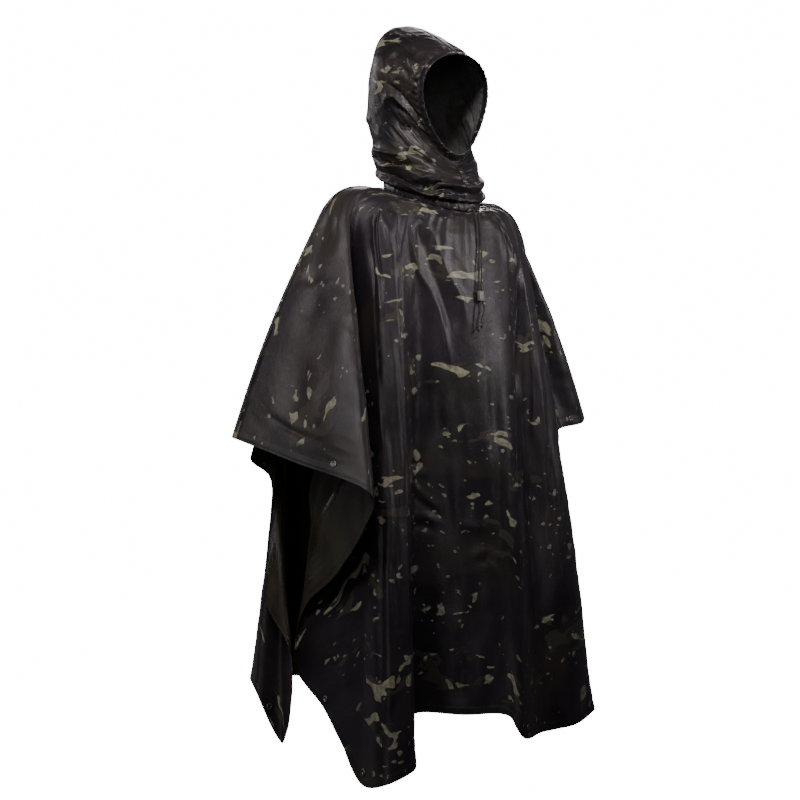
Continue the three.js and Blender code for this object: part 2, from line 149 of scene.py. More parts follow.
# name, degrees round the garment, distance, height, the height it is aimed at, width, tall, watts
SOFT_BOXES = [
    ("soft_box_key", -86, 2.7, 1.5, -0.50, 1.3, 1.4, 1.5),
    ("soft_box_camera", -46, 3.3, 2.9, 0.30, 1.5, 1.0, 7.5),
    ("soft_box_front", 36, 2.3, 0.62, 0.05, 1.6, 0.8, 2.7),
    ("soft_box_left", 68, 3.0, 0.9, 0.0, 0.5, 1.6, 0.12),
    ("soft_box_back_right", -165, 3.0, 0.6, -0.6, 1.2, 1.6, 1.8),
    ("soft_box_back_left", 135, 3.0, 1.2, -0.2, 1.2, 2.0, 4.0),
    ("soft_box_fill", -40, 3.4, 0.35, 0.15, 0.7, 0.7, 0.24),
    ("soft_box_low", -58, 3.0, -0.45, -0.70, 0.4, 1.3, 0.20),
]
for name, degrees, distance, height, aimed_at, width, tall, watts in SOFT_BOXES:
    light_data = bpy.data.lights.new(name, "AREA")
    light_data.shape = "RECTANGLE"
    light_data.size = width
    light_data.size_y = tall
    light_data.energy = watts
    light_data.color = LIGHT_TINT
    light_data.spread = LIGHT_SPREAD
    light = bpy.data.objects.new(name, light_data)
    turn = math.radians(degrees)
    light.location = (distance * math.sin(turn), -distance * math.cos(turn), height)
    light.rotation_euler = (Vector((0, 0, aimed_at)) - light.location).to_track_quat("-Z", "Y").to_euler()
    bpy.context.scene.collection.objects.link(light)
print("lights", len(SOFT_BOXES))

# %% [markdown]
# ## The drawcord's route
# The two strands leave the neck casing in front, run through the lock and end in knots. Their routes are the
# CAD model's, point for point, so that cord and solid lie in the same place.

# %% Cord routes, in millimetres
CORD_RADIUS = 1.5
STRANDS = {
    "right": [
        (10, -102.4, -22), (10, -107.4, -23), (9.5, -116, -32), (8, -121.5, -46), (6, -128.8, -70),
        (3, -135.8, -104), (-3, -142.6, -148), (-6.1, -147, -182), (-6.1, -148.6, -193), (-6.1, -150.1, -204),
        (-11, -152.4, -216), (-14.5, -153.4, -231), (-17, -155, -244), (-17, -156.2, -252.6),
    ],
    "left": [
        (21, -101.4, -21.6), (21, -106.6, -22.6), (20, -115.6, -32), (18, -121, -46), (14, -128.4, -70),
        (9, -135.8, -104), (3, -142.6, -148), (-0.9, -147, -182), (-0.9, -148.6, -193), (-0.9, -150.1, -204),
        (1.5, -152.4, -215), (-2, -153.6, -227), (-8, -155.2, -238), (-8.5, -156.4, -245),
    ],
}
KNOTS = {"right": (-17, -156.6, -257.4), "left": (-8.5, -156.8, -249.8)}
KNOT_CORD_RADIUS = 1.25
KNOT_STEPS = 48
STRAND_STEPS = 35

# %% [markdown]
# ## The drape
# A worn poncho hangs in folds that all start at the shoulders. Each row below is one fold line, a ridge or a
# valley, from the shoulder to the cloth's edge. A smooth curve across the lines gives the panel's surface.
# This is the same drape that the CAD solids have. It could be simulated, but a simulation doesn't hang in the
# photograph's own folds, so the folds are placed one by one.

# %% Neck and yoke, in millimetres
WALL = 1.6
NECK = {
    "half_width": 88, "half_depth": 98, "middle_z": 10, "tilt": 0.32, "casing_height": 14, "cape_drop": 1.4,
}
YOKE = {
    "middle_x": -16, "half_width": 219, "front_depth": 126, "back_depth": 134, "right_z": 30, "left_z": 4,
    "front_z": -46, "back_z": 2, "right_bend": 98, "left_bend": 104,
}
LIE_SHARE = 0.1
BEND_SHARE = 0.25

# %% Fold lines of the front, in millimetres
# name, angle round the yoke, end x, end y, end z, middle's sway in x, middle's sway in y
FRONT_LINES = [
    ("right arm ridge", 0, -460, 0, -450, -12, 0),
    ("right flap middle", 4.5, -417, -128, -488, -12, -6),
    ("right flap ridge", 9, -362, -278, -538, 0, 0),
    ("right return top", 13, -332, -218, -600, 0, 0),
    ("right return middle", 17, -302, -90, -700, 0, 0),
    ("right return snap", 21, -281, 38, -780, 0, 0),
    ("right side joint", 25, -271, 78, -888, 0, 0),
    ("right side lower snap", 29, -278, -22, -948, 0, 0),
    ("right side foot", 31.5, -287, -92, -1000, 0, 0),
    ("right front corner", 34, -294, -154, -1056, 0, 0),
    ("column outside", 38, -306, -236, -1043, 0, 0),
    ("column inside", 47, -252, -250, -1022, 0, 0),
    ("right valley", 60, -125, -96, -972, 0, 0),
    ("panel right", 76, -62, -168, -970, 0, -6),
    ("panel left", 98, 0, -225, -972, 0, -8),
    ("middle ridge", 120, 11, -247, -1008, 0, -8),
    ("left valley", 131, 98, -214, -1018, 16, 26),
    ("left panel", 143, 194, -208, -1018, -14, -26),
    ("left ridge", 152, 266, -181, -1006, 7, -8),
    ("left front corner", 157, 290, -84, -1030, 0, 0),
    ("left side lower snap", 161, 282, -6, -942, 0, 0),
    ("left side joint", 165, 268, 70, -852, 0, 0),
    ("left return snap", 168, 277, 40, -762, 0, 0),
    ("left return middle", 171, 287, -20, -662, 0, 0),
    ("left return top", 173.5, 272, -84, -560, 0, 0),
    ("left flap ridge", 175.5, 252, -98, -476, 6, 0),
    ("left flap valley", 177, 316, -38, -457, 8, 12),
    ("left flap roll", 178.5, 372, -42, -448, 9, -6),
    ("left arm ridge", 180, 426, 0, -438, 11, 0),
]

# %% Fold lines of the back
BACK_LINES = [
    ("right arm ridge", 0, -460, 0, -450, -12, 0),
    ("right flap middle", 5, -388, 40, -464, -10, 4),
    ("right flap ridge", 9.5, -332, 128, -507, 0, 0),
    ("right edge top", 13, -291, 130, -538, 0, 6),
    ("right edge upper", 17, -286, 136, -630, 0, 22),
    ("right edge middle", 22, -302, 132, -770, 6, 40),
    ("right side joint", 28, -287, 66, -866, 10, 82),
    ("right back corner", 34, -270, 120, -1045, 14, 72),
    ("right back fold", 40, -308, 156, -944, 21, 61),
    ("back pleat 1", 47, -240, 256, -940, 12, 24),
    ("back valley 1", 54, -188, 134, -930, 0, 20),
    ("back pleat 2", 62, -146, 272, -940, 0, 0),
    ("back valley 2", 70, -92, 148, -958, 0, 14),
    ("back pleat 3", 78, -52, 284, -966, 0, 0),
    ("back valley 3", 87, -6, 152, -980, 0, 14),
    ("back pleat 4", 96, 44, 286, -974, 0, 0),
    ("back valley 4", 105, 92, 150, -984, 0, 14),
    ("back pleat 5", 114, 140, 276, -974, 0, 0),
    ("back valley 5", 123, 186, 138, -986, 0, 20),
    ("back pleat 6", 132, 240, 258, -978, 0, 6),
    ("left back fold", 141, 296, 196, -985, -24, 30),
    ("left back corner", 148, 316, 126, -1034, -14, 50),
    ("left side joint", 154, 286, 84, -852, -8, 66),
    ("left edge middle", 160, 312, 122, -750, -6, 40),
    ("left edge top", 166, 300, 134, -600, 0, 20),
    ("left flap ridge", 171, 322, 118, -504, 0, 0),
    ("left flap middle", 175.5, 374, 46, -456, 10, 4),
    ("left arm ridge", 180, 426, 0, -438, 11, 0),
]

# %% [markdown]
# The curve across the lines is a centripetal Catmull-Rom spline, which passes through every line and doesn't
# loop where two lines start close together.

# %% Curves of the drape


def mix(a, b, share):
    return a + (b - a) * share


def spline_point(points, place):
    """The point at a place counted in points along a smooth curve through them."""
    low = min(int(place), len(points) - 2)
    t = place - low
    p1, p2 = points[low], points[low + 1]
    p0 = points[low - 1] if low > 0 else 2 * p1 - p2
    p3 = points[low + 2] if low + 2 < len(points) else 2 * p2 - p1
    d0, d1, d2 = (max((b - a).length_squared, 1e-9) ** 0.25 for a, b in ((p0, p1), (p1, p2), (p2, p3)))
    leave = ((p1 - p0) / d0 - (p2 - p0) / (d0 + d1) + (p2 - p1) / d1) * d1
    arrive = ((p2 - p1) / d1 - (p3 - p1) / (d1 + d2) + (p3 - p2) / d2) * d1
    bend = 3 * (p2 - p1) - 2 * leave - arrive
    return p1 + leave * t + bend * t * t + (2 * (p1 - p2) + leave + arrive) * t * t * t


def neck_point(degrees, facing, drop):
    angle = math.radians(degrees)
    y = facing * NECK["half_depth"] * math.sin(angle)
    return Vector((-NECK["half_width"] * math.cos(angle), y, NECK["middle_z"] + NECK["tilt"] * y - drop))


def yoke_point(degrees, facing):
    angle = math.radians(degrees)
    end = "front" if facing < 0 else "back"
    depth, low = YOKE[end + "_depth"], YOKE[end + "_z"]
    side = mix(YOKE["right_z"], YOKE["left_z"], degrees / 180)
    x = YOKE["middle_x"] - YOKE["half_width"] * math.cos(angle)
    return Vector((x, facing * depth * math.sin(angle), mix(side, low, math.sin(angle) ** 2)))


def fold_line(line, facing):
    """The fold line as a function: it lies on the shoulder, turns down at the yoke and hangs to its end."""
    _, degrees, x, y, z, sway_x, sway_y = line
    start = neck_point(degrees, facing, NECK["casing_height"] / 2 + NECK["cape_drop"] + WALL / 2)
    knee = yoke_point(degrees, facing)
    end = Vector((x, y, z))
    bend = mix(YOKE["right_bend"], YOKE["left_bend"], degrees / 180)
    before = mix(knee, start, min(0.7, bend / (knee - start).length))
    after = mix(knee, end, bend / (knee - end).length)

    def point(w):
        if w <= LIE_SHARE:
            return mix(start, before, w / LIE_SHARE)
        if w <= BEND_SHARE:
            t = (w - LIE_SHARE) / (BEND_SHARE - LIE_SHARE)
            return mix(mix(before, knee, t), mix(knee, after, t), t)
        t = (w - BEND_SHARE) / (1 - BEND_SHARE)
        sway = math.sin(math.pi * t)
        return mix(after, end, t) + Vector((sway_x * sway, sway_y * sway, 0))

    return point


# %% [markdown]
# ## Cloth coordinates
# Each half is cut as a rectangle, 1450 mm from arm edge to arm edge and 1125 mm from the shoulder line to the
# hem. Every point of the drape gets its place on that flat cut. The print, the weave and the creases follow
# those places, as they do on real cloth.

# %% The flat cut
CUT_WIDTH = 1.45
CUT_LENGTH = 1.125
CORNERS = {"front": (9, 19), "back": (7, 21)}


def edge_places(lines, corners):
    """Where each line ends on the cut's edge: down one side, along the hem and up the other side."""
    ends = [Vector(line[2:5]) for line in lines]
    run = [0.0]
    for a, b in zip(ends, ends[1:]):
        run.append(run[-1] + (b - a).length)
    half = CUT_WIDTH / 2
    low, high = corners
    stops = [(0, (-half, 0.0)), (low, (-half, CUT_LENGTH))]
    stops += [(high, (half, CUT_LENGTH)), (len(lines) - 1, (half, 0.0))]
    places = []
    for k in range(len(lines)):
        (a, (u0, v0)), (b, (u1, v1)) = next(pair for pair in zip(stops, stops[1:]) if k <= pair[1][0])
        share = (run[k] - run[a]) / (run[b] - run[a])
        places.append(Vector((mix(u0, u1, share), mix(v0, v1, share), 0)))
    return places


# %% [markdown]
# ## Creases
# The large folds are in the drape. On top of them the cloth shows softer, smaller ones: gathers that run out
# from the neck, Y-shaped tension creases on the chest, a patch of crumpled cloth at hip height, and long
# shallow ripples above the hem. Each row is one trough or ridge on the flat cut, with its width and depth. No
# two are alike, and each fades out at both ends.

# %% Creases of the front, in millimetres
# name, half-width, depth (a ridge where it is negative), and the places it runs through
FRONT_CREASES = [
    ("column edge", 7, -4.2, [(-185, 340), (-210, 410), (-235, 490), (-262, 575), (-290, 680), (-350, 790),
        (-400, 900), (-450, 1000), (-500, 1100)]),
    ("beside the column edge", 8, 4.8, [(-168, 355), (-196, 430), (-220, 500), (-247, 580), (-275, 680),
        (-330, 790), (-380, 900)]),
    ("left arm of the Y", 6, -3.6, [(-190, 255), (-178, 300), (-186, 350)]),
    ("right arm of the Y", 6, -3.6, [(-118, 250), (-136, 300), (-162, 335), (-184, 360)]),
    ("inside the Y", 7.5, 5.2, [(-148, 225), (-152, 280), (-164, 330)]),
    ("column pleat 1", 6.5, -4.2, [(-215, 260), (-230, 330), (-242, 390), (-262, 450)]),
    ("column pleat 2", 6, -3.6, [(-186, 250), (-205, 320), (-218, 370), (-250, 440)]),
    ("between the pleats", 7, 3.8, [(-200, 260), (-219, 330), (-231, 390)]),
    ("behind the pleats", 11, 5.6, [(-240, 300), (-262, 380), (-288, 460), (-320, 550)]),
    ("column streak 1", 9, -4, [(-285, 450), (-312, 520), (-340, 600), (-360, 680)]),
    ("column streak 2", 8, -3.6, [(-250, 470), (-285, 570), (-320, 670), (-375, 760)]),
    ("column streak 3", 11, -4.8, [(-360, 700), (-430, 820), (-500, 970), (-560, 1080)]),
    ("column hollow", 13, 6, [(-385, 700), (-455, 830), (-530, 980), (-580, 1070)]),
    ("column inner hollow", 10, 4.5, [(-300, 560), (-335, 660), (-395, 790), (-450, 920)]),
    ("chest diagonal", 10, -5, [(-115, 270), (-105, 325), (-88, 355), (-66, 385), (-50, 420), (-42, 470),
        (-35, 530)]),
    ("chest hollow", 13, 7.2, [(-85, 275), (-60, 330), (-45, 375), (-32, 420), (-20, 470)]),
    ("chest streak", 9, -4.6, [(-60, 270), (-38, 335), (-22, 370), (-6, 405), (0, 450)]),
    ("middle of the panel", 20, -4.6, [(-30, 500), (-22, 600), (-10, 720), (20, 860), (40, 1000)]),
    ("panel soft hollow 1", 22, 6, [(-75, 480), (-70, 600), (-60, 750), (-50, 950)]),
    ("panel soft hollow 2", 16, 5, [(40, 420), (50, 550), (60, 700), (75, 900)]),
    ("shoulder gather 1", 6, -3, [(-150, 190), (-110, 215), (-70, 235), (-30, 250)]),
    ("shoulder gather 2", 7, 3.4, [(-140, 210), (-100, 235), (-60, 262)]),
    ("shoulder gather 3", 6, -2.8, [(-215, 140), (-235, 190), (-245, 240)]),
    ("left chest streak 1", 6, -4, [(36, 225), (54, 262), (67, 300), (78, 345)]),
    ("left chest hollow", 7, 4, [(55, 230), (70, 270), (84, 310)]),
    ("left chest streak 2", 7, -4.8, [(70, 260), (90, 310), (110, 345), (125, 385), (130, 430)]),
    ("left valley line", 13, 12, [(120, 340), (140, 400), (145, 500), (142, 620), (140, 760)]),
    ("left streak 1", 8, -4.6, [(150, 330), (172, 390), (195, 450), (215, 530), (230, 640)]),
    ("left streak 2", 9, -4.2, [(290, 500), (310, 620), (335, 760), (370, 920)]),
    ("left hollow", 12, 6, [(250, 420), (270, 540), (290, 680), (320, 840)]),
    ("crumple 1", 6.5, -4.8, [(-180, 722), (-135, 733), (-100, 755), (-75, 770)]),
    ("crumple 2", 6.5, 4.6, [(-170, 742), (-125, 756), (-90, 778), (-70, 790)]),
    ("crumple 3", 6.5, -4.6, [(-200, 795), (-155, 782), (-110, 784), (-75, 794)]),
    ("crumple 4", 7, 4, [(-190, 810), (-140, 798), (-90, 805)]),
    ("crumple 5", 6, -3.4, [(-190, 713), (-140, 705), (-90, 713)]),
    ("crumple 6", 6, 3.6, [(-185, 700), (-140, 690), (-100, 697)]),
    ("crumple 7", 6, -2.8, [(-10, 852), (20, 842), (55, 850)]),
    ("crumple 8", 6, 2.8, [(0, 864), (30, 858), (60, 866)]),
    ("crumple 9", 6, -2.6, [(-30, 790), (0, 802), (40, 800)]),
    ("flap dent", 22, 4.4, [(-235, 22), (-285, 36), (-340, 46), (-390, 50)]),
    ("flap gloss fold", 12, -4.6, [(-240, 60), (-280, 75), (-320, 85)]),
    ("flap soft hollow 1", 30, 7, [(-380, 60), (-500, 80), (-600, 100), (-680, 110)]),
    ("flap soft fold", 18, -5, [(-420, 135), (-520, 160), (-620, 185), (-700, 200)]),
    ("flap crease 1", 8, -3.2, [(-420, 150), (-450, 175), (-490, 185)]),
    ("flap crease 2", 8, 3.4, [(-655, 60), (-670, 110), (-672, 170)]),
    ("flap hem pucker 1", 7, 3, [(-690, 120), (-665, 135), (-640, 150)]),
    ("flap hem pucker 2", 7, -2.8, [(-700, 200), (-670, 215), (-640, 222)]),
    ("left sleeve fold 1", 10, -4.6, [(400, 60), (480, 75), (560, 90), (660, 100)]),
    ("left sleeve hollow", 10, 5.2, [(360, 90), (450, 110), (550, 130), (650, 145)]),
    ("left sleeve fold 2", 9, -4.2, [(340, 130), (420, 160), (520, 180), (620, 200)]),
    ("return streak 1", 16, -10, [(-560, 400), (-600, 520), (-640, 660), (-670, 800)]),
    ("return hollow", 16, 10, [(-500, 420), (-545, 550), (-585, 700), (-620, 820)]),
    ("return edge pucker 1", 8, -4.4, [(-700, 600), (-670, 615), (-640, 610)]),
    ("return edge pucker 2", 8, 4.4, [(-710, 660), (-680, 670), (-650, 665)]),
    ("return edge pucker 3", 8, -4, [(-710, 720), (-685, 725), (-650, 730)]),
    ("hem ripple 1", 16, 4, [(-50, 980), (-45, 1050), (-50, 1110)]),
    ("hem ripple 2", 16, -3.6, [(0, 990), (5, 1060), (0, 1115)]),
    ("hem ripple 3", 13, 3.6, [(300, 950), (310, 1030), (300, 1100)]),
]

# %% Creases of the back
BACK_CREASES = [
    ("nape gather 1", 7, -3.4, [(-20, 120), (-35, 200), (-40, 280)]),
    ("nape gather 2", 7, 3.8, [(10, 120), (5, 200), (-5, 300)]),
    ("nape gather 3", 7, -3.2, [(50, 120), (60, 190), (55, 270)]),
    ("right shoulder drag", 10, -4.8, [(-220, 140), (-170, 240), (-150, 360), (-160, 480)]),
    ("right shoulder hollow", 12, 5.6, [(-190, 140), (-145, 250), (-125, 370), (-130, 500)]),
    ("left shoulder drag", 10, -4.6, [(200, 150), (160, 250), (150, 370), (165, 500)]),
    ("left shoulder hollow", 12, 5.4, [(170, 150), (130, 260), (120, 400)]),
    ("blade crease 1", 8, -3.6, [(-100, 300), (-50, 335), (0, 345)]),
    ("blade crease 2", 8, 3.6, [(-90, 320), (-40, 355), (10, 362)]),
    ("pleat crease 1", 10, -4.2, [(-330, 550), (-350, 700), (-340, 850)]),
    ("pleat crease 2", 11, 4.8, [(-80, 550), (-90, 700), (-80, 880)]),
    ("pleat crease 3", 9, -4, [(50, 500), (60, 640), (50, 800)]),
    ("pleat crease 4", 11, 4.6, [(220, 520), (250, 680), (240, 860)]),
    ("pleat crease 5", 10, -4.2, [(360, 560), (380, 700), (390, 860)]),
    ("hip crumple 1", 7, -4, [(-200, 660), (-150, 675), (-110, 670)]),
    ("hip crumple 2", 7, 3.8, [(-190, 680), (-140, 695), (-100, 690)]),
    ("hip crumple 3", 7, -3.6, [(100, 740), (140, 730), (190, 745)]),
    ("hip crumple 4", 7, 3.4, [(100, 757), (150, 750), (200, 765)]),
    ("right sleeve fold", 12, -5, [(-360, 70), (-460, 90), (-580, 100), (-680, 110)]),
    ("left sleeve fold", 12, -4.8, [(340, 80), (450, 100), (570, 100), (670, 120)]),
    ("left sleeve hollow", 13, 5.2, [(330, 120), (440, 150), (560, 160)]),
    ("hem ripple", 14, 3.6, [(100, 980), (110, 1050), (100, 1110)]),
]

# %% Depth of the creases, in metres
CREASE_REACH = 2.4
SOFT_CREASE = 0.0115


def prepared(creases):
    """Each crease in metres, with its box on the cut, widened by its reach, for a quick test."""
    ready = []
    for _, wide, depth, places in creases:
        wide, depth, places = wide * MM, depth * MM, [(u * MM, v * MM) for u, v in places]
        reach = CREASE_REACH * wide
        us, vs = [u for u, _ in places], [v for _, v in places]
        box = (min(us) - reach, max(us) + reach, min(vs) - reach, max(vs) + reach)
        lengths = [math.dist(a, b) for a, b in zip(places, places[1:])]
        ready.append((wide, depth, places, lengths, sum(lengths), box))
    return ready


def crease_depth(creases, u, v):
    """How deep the creases are at a place. Wide ones are round, narrow ones sharp, and each fades out."""
    total = 0.0
    for wide, depth, places, lengths, whole, box in creases:
        if not (box[0] < u < box[1] and box[2] < v < box[3]):
            continue
        nearest, at, before = 1e9, 0.0, 0.0
        for (u0, v0), (u1, v1), length in zip(places, places[1:], lengths):
            du, dv = (u1 - u0) / length, (v1 - v0) / length
            share = min(length, max(0.0, (u - u0) * du + (v - v0) * dv))
            away = math.hypot(u - u0 - du * share, v - v0 - dv * share)
            if away < nearest:
                nearest, at = away, before + share
            before += length
        off = nearest / wide
        if off < CREASE_REACH:
            fade = math.sin(math.pi * min(0.5, 2.2 * min(at, whole - at) / whole + 0.03))
            uneven = 0.82 + 0.3 * math.sin(at * 38.0 + depth * 9000.0)
            shape = math.exp(-off * off * 1.3) if wide > SOFT_CREASE else 1.4 * math.exp(-off * 1.6) - 0.03
            total += depth * fade * uneven * shape
    return total


# %% Gathers, crinkle and ripple
GATHER_DEPTH = 0.0027
GATHER_START = 0.004
GATHER_PEAK = 0.02
GATHER_FADE = 0.075


def gather_height(degrees, run):
    """Uneven gathers that run out from the neck casing and fade over the shoulder."""
    away = max(0.0, run - GATHER_START)
    fade = math.exp(-(away - GATHER_PEAK) / GATHER_FADE)
    if away < GATHER_PEAK:
        fade = away / GATHER_PEAK * math.exp(1 - away / GATHER_PEAK)
    turn = math.radians(degrees)
    wave = 0.62 * math.sin(31 * turn + 1.7 * math.sin(3.1 * turn))
    wave += 0.38 * math.sin(53 * turn + 2.0 * math.sin(5.3 * turn))
    return GATHER_DEPTH * fade * wave


def crinkle(u, v, seed, scale):
    """Sharp little folds with flat cloth between them: the ridges where a noise changes its sign."""
    bend = 0.35 * noise.noise(Vector((u * 9.0, v * 9.0, seed)))
    first = noise.noise(Vector((u * scale + bend, v * scale * 0.7 - bend, seed + 3.0)))
    second = noise.noise(Vector((u * scale * 0.6 - v * scale * 0.8, v * scale * 0.9, seed + 5.0)))
    return 0.6 * (0.5 - min(0.5, 2.2 * abs(first))) + 0.4 * (0.5 - min(0.5, 2.2 * abs(second)))


def ripple(u, v, seed):
    """Soft unevenness of cloth that has been folded and worn."""
    long_waves = noise.noise(Vector((u * 13.0, v * 2.6, seed)))
    crumple = noise.noise(Vector((u * 26.0 + v * 9.0, v * 21.0, seed + 7.0)))
    return 0.0034 * long_waves + 0.0012 * crumple


def neck_crinkle(u, v, run, seed):
    """The crinkle is strongest where the cloth is bunched at the neck."""
    return (0.0010 + 0.0046 * math.exp(-run / 0.10)) * crinkle(u, v, seed, 24.0)


# %% [markdown]
# ## The body panels
# Each half is one sheet of thin cloth. A grid is created with Blender's own operator and its points are moved
# onto the drape, then pushed in or out by the creases. The last rows lie close together, so that the hem can
# have a real fold: it is turned over twice and stands a little proud, with two rows of stitching sunk in it.

# %% The hem
HEM_WIDTH = 0.014
HEM_RISE = 0.0009
HEM_SLOPE = 0.0012
HEM_STITCHES = (0.0035, 0.0105)
STITCH_SINK = 0.0005
HEM_ROWS = [0.0150, 0.0138, 0.0130, 0.0115, 0.0100, 0.0085, 0.0050, 0.0035, 0.0020, 0.0008, 0.0]


def hem_height(from_edge):
    if from_edge >= HEM_WIDTH:
        return 0.0
    rise = HEM_RISE * min(1.0, (HEM_WIDTH - from_edge) / HEM_SLOPE)
    sink = sum(STITCH_SINK * math.exp(-(((from_edge - row) / HEM_SLOPE) ** 2)) for row in HEM_STITCHES)
    return rise - sink


# %% Helpers for a sheet of cloth


def cloth_grid(columns, rows):
    """A flat grid of faces, two units wide, with a layer for the places on the flat cut."""
    bm = bmesh.new()
    bmesh.ops.create_grid(bm, x_segments=columns, y_segments=rows, size=1.0)
    bm.loops.layers.uv.new("cloth")
    return bm


def lay_on_cut(bm, flat_of):
    """Gives each corner of each face its place on the flat cut."""
    uv_layer = bm.loops.layers.uv["cloth"]
    for face in bm.faces:
        for loop in face.loops:
            loop[uv_layer].uv = flat_of[loop.vert]


def face_outwards(bm, outward):
    """Turns the faces round if most of them look away from the outward direction."""
    bm.normal_update()
    if sum(face.normal.dot(outward(face)) for face in bm.faces) < 0:
        bmesh.ops.reverse_faces(bm, faces=bm.faces)


def thicken(piece, name, thickness):
    """Gives cloth its thickness, half to each side."""
    solid = piece.modifiers.new(name, "SOLIDIFY")
    solid.thickness = thickness
    solid.offset = 0.0
    return solid


# %% A panel
SHELL = 0.9
SEAM_GAP = 0.3
PANEL_GRID = (262, 176)
FOLD_LENGTH = 0.95
SPACED_AT = 0.8
COARSE_SHARE = 0.42
LEAST_SPACE = 9.0
NECK_HOLE = (0.092, 0.095)


class Panel:
    """One half of the cape: its drape, its columns, and the place of each point on the flat cut."""

    def __init__(self, name, lines, facing, fine):
        self.name, self.lines, self.facing, self.fine = name, lines, facing, fine
        self.folds = [fold_line(line, facing) for line in lines]
        self.edges = edge_places(lines, CORNERS[name])
        self.columns, rows = PANEL_GRID
        self.places = self.even_places()
        plain = rows - len(HEM_ROWS)
        self.rows = [0.985 * (i / plain) ** 0.93 for i in range(plain + 1)]
        self.rows = [w for w in self.rows if w < 0.984] + [1.0 - d / FOLD_LENGTH for d in HEM_ROWS]

    def even_places(self):
        """Column places, evenly spaced over the lower cloth, and closer between the two fine lines."""
        at = [fold(SPACED_AT) for fold in self.folds]
        run = [0.0]
        for k, (a, b) in enumerate(zip(at, at[1:])):
            share = 1.0 if self.fine[0] <= k < self.fine[1] else COARSE_SHARE
            run.append(run[-1] + (b - a).length * share + LEAST_SPACE)
        places, low = [], 0
        for i in range(self.columns + 1):
            target = run[-1] * i / self.columns
            while low < len(run) - 2 and run[low + 1] < target:
                low += 1
            places.append(low + min(1.0, (target - run[low]) / (run[low + 1] - run[low])))
        return places

    def row(self, w):
        points = [fold(w) for fold in self.folds]
        return [spline_point(points, k) * MM for k in self.places]

    def degrees(self, k):
        low = min(int(k), len(self.lines) - 2)
        return mix(self.lines[low][1], self.lines[low + 1][1], k - low)

    def surface(self, k, w):
        return spline_point([fold(w) for fold in self.folds], k) * MM

    def flat(self, k, w):
        """The place on the flat cut, in metres."""
        low = min(int(k), len(self.lines) - 2)
        edge = mix(self.edges[low], self.edges[low + 1], k - low)
        turn = math.radians(self.degrees(k))
        start = Vector((-NECK_HOLE[0] * math.cos(turn), NECK_HOLE[1] * math.sin(turn), 0))
        place = mix(start, edge, w)
        return place.x, place.y

    def build(self, creases, seed, *materials):
        self.creases, self.seed = prepared(creases), seed
        rows = [self.row(w) for w in self.rows]
        last_row, last_column = len(rows) - 1, len(self.places) - 1
        bm = cloth_grid(last_column, last_row)
        flat_of, normal_of = {}, {}
        for vert in bm.verts:
            j = round((vert.co.x + 1) / 2 * last_column)
            i = round((vert.co.y + 1) / 2 * last_row)
            p = rows[i][j]
            across = rows[i][min(j + 1, last_column)] - rows[i][max(j - 1, 0)]
            down = rows[min(i + 1, last_row)][j] - rows[max(i - 1, 0)][j]
            normal = down.cross(across).normalized() * -self.facing
            w, k = self.rows[i], self.places[j]
            u, v = self.flat(k, w)
            flat_of[vert], normal_of[vert] = (u, v), normal
            run = (rows[0][j] - p).length
            height = hem_height((rows[-1][j] - p).length)
            if 0 < j < last_column:
                calm = min(1.0, min(j, last_column - j) / 5.0) * min(1.0, run / 0.01)
                worn = ripple(u, v, seed) * (0.35 + 0.65 * min(1.0, run / 0.25))
                worn += neck_crinkle(u, v, run, seed) - crease_depth(self.creases, u, v)
                height += (gather_height(self.degrees(k), run) + worn) * calm
            vert.co = p + normal * height
            if j in (0, last_column):
                vert.co.y = self.facing * SEAM_GAP / 2 * MM
        lay_on_cut(bm, flat_of)
        face_outwards(bm, lambda face: normal_of[face.verts[0]])
        piece = new_object(self.name + "_panel", bm, *materials)
        solid = thicken(piece, "cloth thickness", SHELL * MM)
        solid.material_offset = 1
        solid.material_offset_rim = 0
        return piece


# %% [markdown]
# ## The cloth's finish
# The outer face is coated nylon: near black with a violet-grey bloom, half glossy, with a generic camouflage
# of small grey-olive flecks in clusters and dim brown patches. The pattern is made from noise on the cloth
# coordinates, so that it runs across the width as a print does. The inner face is the bare olive coating,
# which is glossier.

# %% Node helpers


